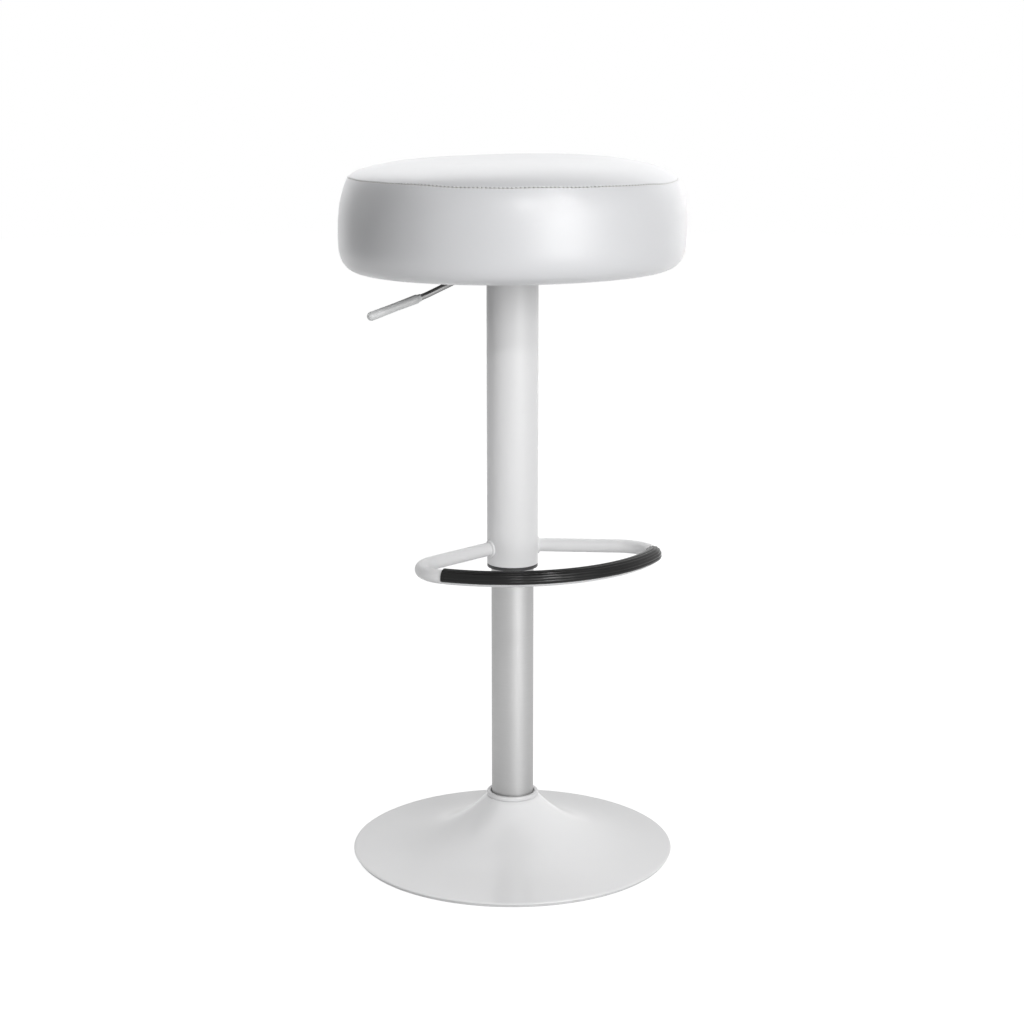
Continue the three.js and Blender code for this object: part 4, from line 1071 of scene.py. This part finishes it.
class StoolUnderside(bpy.types.Operator):
    """Fits the dust cover, the staples of the cover's hem, and the screws seen from below"""

    bl_idname = "stool.underside"
    bl_label = "Underside"

    def execute(self, context):
        low, high, wide, hole = DUST_LOW.z, DUST_HIGH.z, DUST_HIGH.x, 0.064
        sole = [(radius, low) for radius in (hole, 0.08, 0.10, 0.12, wide)]
        outline = [*sole, (wide, high), (0.10, high)]
        cloth = turned("dust_cloth", [*outline, (hole, high)], TUBE_SIDES)
        deliver(cloth, "seat_column", "black_cloth", "dust_cover")
        self.staples()
        self.screws("seat_screws", "seat_bolt", "seat_column", 0.0038, 0.003)
        self.screws("foot_screws", "foot_bolt", "base", 0.0036, 0.004)
        return {"FINISHED"}

    def staples(self):
        """One wire staple, copied round the hem."""
        cube = bpy.ops.mesh.primitive_cube_add
        staple = added(cube, "hem_staples", size=1, scale=(0.0006, 0.010, 0.0005))
        settle(staple)
        apply(staple, "BEVEL", width=0.00015, segments=2)
        count, laid = sizes().staple_count, Matrix.Translation((HEM_RADIUS + 0.0035, 0, BAND_BOTTOM + 0.0025))
        places = []
        for i in range(count):
            wobble = Matrix.Rotation(0.12 * math.sin(7.3 * i), 4, "Z")
            places.append(Matrix.Rotation(FULL_TURN * i / count, 4, "Z") @ laid @ wobble)
        copied(staple, places)
        deliver(staple, "seat_column", "zinc_plate")

    def screws(self, name, stem, body, tall, shank):
        """One hexagon socket screw for each of the four CAD screws of a kind, by its head's height."""
        nodes = [f"{stem}_{i}" for i in range(1, 5)]
        made = []
        for node in nodes:
            low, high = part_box(node)
            centre = (low + high) / 2
            radius = (high.x - low.x) / 2
            head = [(radius * 0.2, low.z), (radius, low.z), (radius, low.z + tall), (shank, low.z + tall)]
            outline = [*head, (shank, high.z - 0.0005), (shank - 0.0005, high.z), (0, high.z)]
            outline = rounded(outline, 0.0006, 3, closed=False)
            screw = turned(f"{name}_{node[-1]}", outline, SMALL_SIDES, closed=False)
            edit(screw)
            close_up(cap=True)
            carve(screw, peg(radius * 0.5, tall, (0, 0, low.z), sides=6))
            screw.location = (centre.x, centre.y, 0)
            settle(screw)
            made.append(screw)
        piece = merged(*made)
        piece.name = name
        deliver(piece, body, "zinc_plate", *nodes)


class StoolInnerWorks(bpy.types.Operator):
    """Gives every CAD part that is still shown its procedural finish"""

    bl_idname = "stool.inner_works"
    bl_label = "Inner works"

    def execute(self, context):
        for row in frame["record"]["subparts"]:
            part = frame["nodes"][row["node"]]
            if not part.hide_render:
                for holder in part.material_slots:
                    holder.material = finish(row["material_slot"])
        return {"FINISHED"}


# Stage

CAMERA_PLACE = (-0.0006, -2.454, 0.947)
CAMERA_TILT = math.radians(77.81)
CAMERA_LENS = 74.95
ROOM_LIGHT = 0.30
FLOOR_GLOW = 0.86


def area_light(name, place, target, width, tall, power, mirrored=True, spread=180):
    """A soft rectangular lamp that the camera doesn't see, and that need not show in the stool's gloss."""
    lamp = added(bpy.ops.object.light_add, name, type="AREA", location=place)
    put(lamp, visible_camera=False, visible_glossy=mirrored)
    put(lamp.data, shape="RECTANGLE", size=width, size_y=tall, energy=power, spread=math.radians(spread))
    lamp.rotation_euler = (Vector(target) - Vector(place)).to_track_quat("-Z", "Y").to_euler()


def about(turn, rise, distance, height=0.0):
    """A place round the stool: degrees to the right of the front, degrees up, and metres away."""
    turn, rise = math.radians(turn), math.radians(rise)
    level = distance * math.cos(rise)
    return (level * math.sin(turn), -level * math.cos(turn), height + distance * math.sin(rise))


def emptied(owner):
    """The node tree of a world or material, with nothing in it."""
    owner.use_nodes = True
    owner.node_tree.nodes.clear()
    return owner.node_tree


def seen_rays(tree):
    """A factor that is 1 for rays from the camera, and for those that metal and glass send on."""
    path = add_node(tree, "ShaderNodeLightPath")
    found = path["Is Camera Ray"]
    for name in ("Is Glossy Ray", "Is Transmission Ray"):
        found = add_node(tree, "ShaderNodeMath", {0: found, 1: path[name]}, operation="MAXIMUM")[0]
    return found


class StoolStage(bpy.types.Operator):
    """Sets up the camera, the white room, the pale floor and the lamps"""

    bl_idname = "stool.stage"
    bl_label = "Stage"

    def execute(self, context):
        tilt = (CAMERA_TILT, 0, 0)
        camera = added(bpy.ops.object.camera_add, "photo_camera", location=CAMERA_PLACE, rotation=tilt)
        put(camera.data, sensor_width=36, lens=CAMERA_LENS)
        bpy.context.scene.camera = camera
        self.room()
        self.floor()
        area_light("key_lamp", about(32, 13, 2.4, 0.45), (0, 0, 0.55), 1.05, 1.25, 17)
        area_light("key_glow_lamp", about(32, 11, 2.7, 0.4), (0, 0, 0.5), 3.0, 1.7, 19)
        area_light("back_lamp", (0, 0.75, 1.45), (0, 0, 0.83), 1.2, 0.6, 1.75, mirrored=False, spread=58)
        area_light("fill_lamp", about(-55, 0, 2.4, 0.3), (0, 0, 0.35), 0.8, 0.8, 8, mirrored=False)
        area_light("spot_lamp", about(8, 38, 2.6, 0.2), (0, 0, 0.3), 0.12, 0.12, 6)
        area_light("right_rim_lamp", about(140, 6, 2.4, 0.5), (0, 0, 0.6), 0.9, 0.8, 12, mirrored=False)
        for name, turn, side, power in (
            ("left_edge_lamp", -135, -0.3, 0.45),
            ("right_edge_lamp", 137, 0.3, 0.42),
        ):
            place, target = about(turn, 20, 2.4, 0.76), (side, -0.1, 0.8)
            area_light(name, place, target, 0.4, 0.4, power, mirrored=False, spread=13)
        area_light("gloss_lamp", about(33, 38, 2.6, 0.1), (0, 0, 0.2), 0.16, 0.9, 0.36, spread=25)
        bpy.data.objects["gloss_lamp"].visible_diffuse = False
        self.flag("left_flag", about(-88, 0, 0.75, 0.875), 1.2, 0.55)
        bpy.context.scene.view_settings.view_transform = "Standard"
        return {"FINISHED"}

    def room(self):
        """A white room, which lights the stool at a lower level than it shows."""
        world = bpy.context.scene.world = bpy.data.worlds.new("white_room")
        tree = emptied(world)
        light, shown = (
            add_node(tree, "ShaderNodeBackground", {"Color": (1, 1, 1, 1), "Strength": strength})[0]
            for strength in (ROOM_LIGHT, 1.0)
        )
        mix = add_node(tree, "ShaderNodeMixShader", {"Fac": seen_rays(tree), 1: light, 2: shown})
        add_node(tree, "ShaderNodeOutputWorld", {"Surface": mix[0]})

    def floor(self):
        """A wide pale floor that keeps the stool's shadow."""
        circle, place = bpy.ops.mesh.primitive_circle_add, (0, 0, -0.0005)
        floor = added(circle, "studio_floor", vertices=128, radius=9, fill_type="NGON", location=place)
        surface = bpy.data.materials.new("studio_floor")
        tree = emptied(surface)
        matte = add_node(tree, "ShaderNodeBsdfDiffuse", {"Color": (0.5, 0.5, 0.5, 1)})
        lift = add_node(tree, "ShaderNodeMath", {0: seen_rays(tree), 1: FLOOR_GLOW}, operation="MULTIPLY")
        glow = add_node(tree, "ShaderNodeEmission", {"Strength": lift[0]})
        both = add_node(tree, "ShaderNodeAddShader", {0: matte[0], 1: glow[0]})
        add_node(tree, "ShaderNodeOutputMaterial", {"Surface": both[0]})
        floor.data.materials.append(surface)

    def flag(self, name, place, width, tall):
        """A dark panel beside the stool, out of the camera's sight, that shades one side."""
        facing = (Vector((0, 0, place[2])) - Vector(place)).to_track_quat("Z", "Y").to_euler()
        panel = added(bpy.ops.mesh.primitive_plane_add, name, size=1, location=place, rotation=facing)
        put(panel, scale=(width, tall, 1), visible_camera=False)
        surface = Finish((0.05, 0.05, 0.05), 1).material
        surface.name = "flag_cloth"
        panel.data.materials.append(surface)


class StoolPanel(bpy.types.Panel):
    """Lists the stool's pieces, sizes and colours"""

    bl_idname = "VIEW3D_PT_stool"
    bl_label = "Counter stool"
    bl_space_type = "VIEW_3D"
    bl_region_type = "UI"
    bl_category = "Stool"

    def draw(self, context):
        for maker in MAKERS:
            self.layout.operator(maker.bl_idname)
        for group in (sizes(), colours()):
            box = self.layout.box()
            for name in group.__annotations__:
                box.prop(group, name)


BASE_MAKERS = (StoolBaseShell, StoolCollar, StoolEdgeRing, StoolColumn)
COLUMN_MAKERS = (StoolFootrest, StoolSleeve, StoolSeatPlate, StoolLever)
SEAT_MAKERS = (StoolCushion, StoolStitches, StoolUnderside, StoolInnerWorks)
MAKERS = (StoolStage, *BASE_MAKERS, *COLUMN_MAKERS, *SEAT_MAKERS)
CLASSES = (StoolSizes, StoolColours, *MAKERS, StoolPanel)


def register():
    for each in CLASSES:
        bpy.utils.register_class(each)
    bpy.types.Scene.stool_sizes = PointerProperty(type=StoolSizes)
    bpy.types.Scene.stool_colours = PointerProperty(type=StoolColours)


def unregister():
    del bpy.types.Scene.stool_colours
    del bpy.types.Scene.stool_sizes
    for each in reversed(CLASSES):
        bpy.utils.unregister_class(each)


def main():
    register()
    for maker in MAKERS:
        group, name = maker.bl_idname.split(".")
        getattr(getattr(bpy.ops, group), name)()


if __name__ == "__main__":
    main()
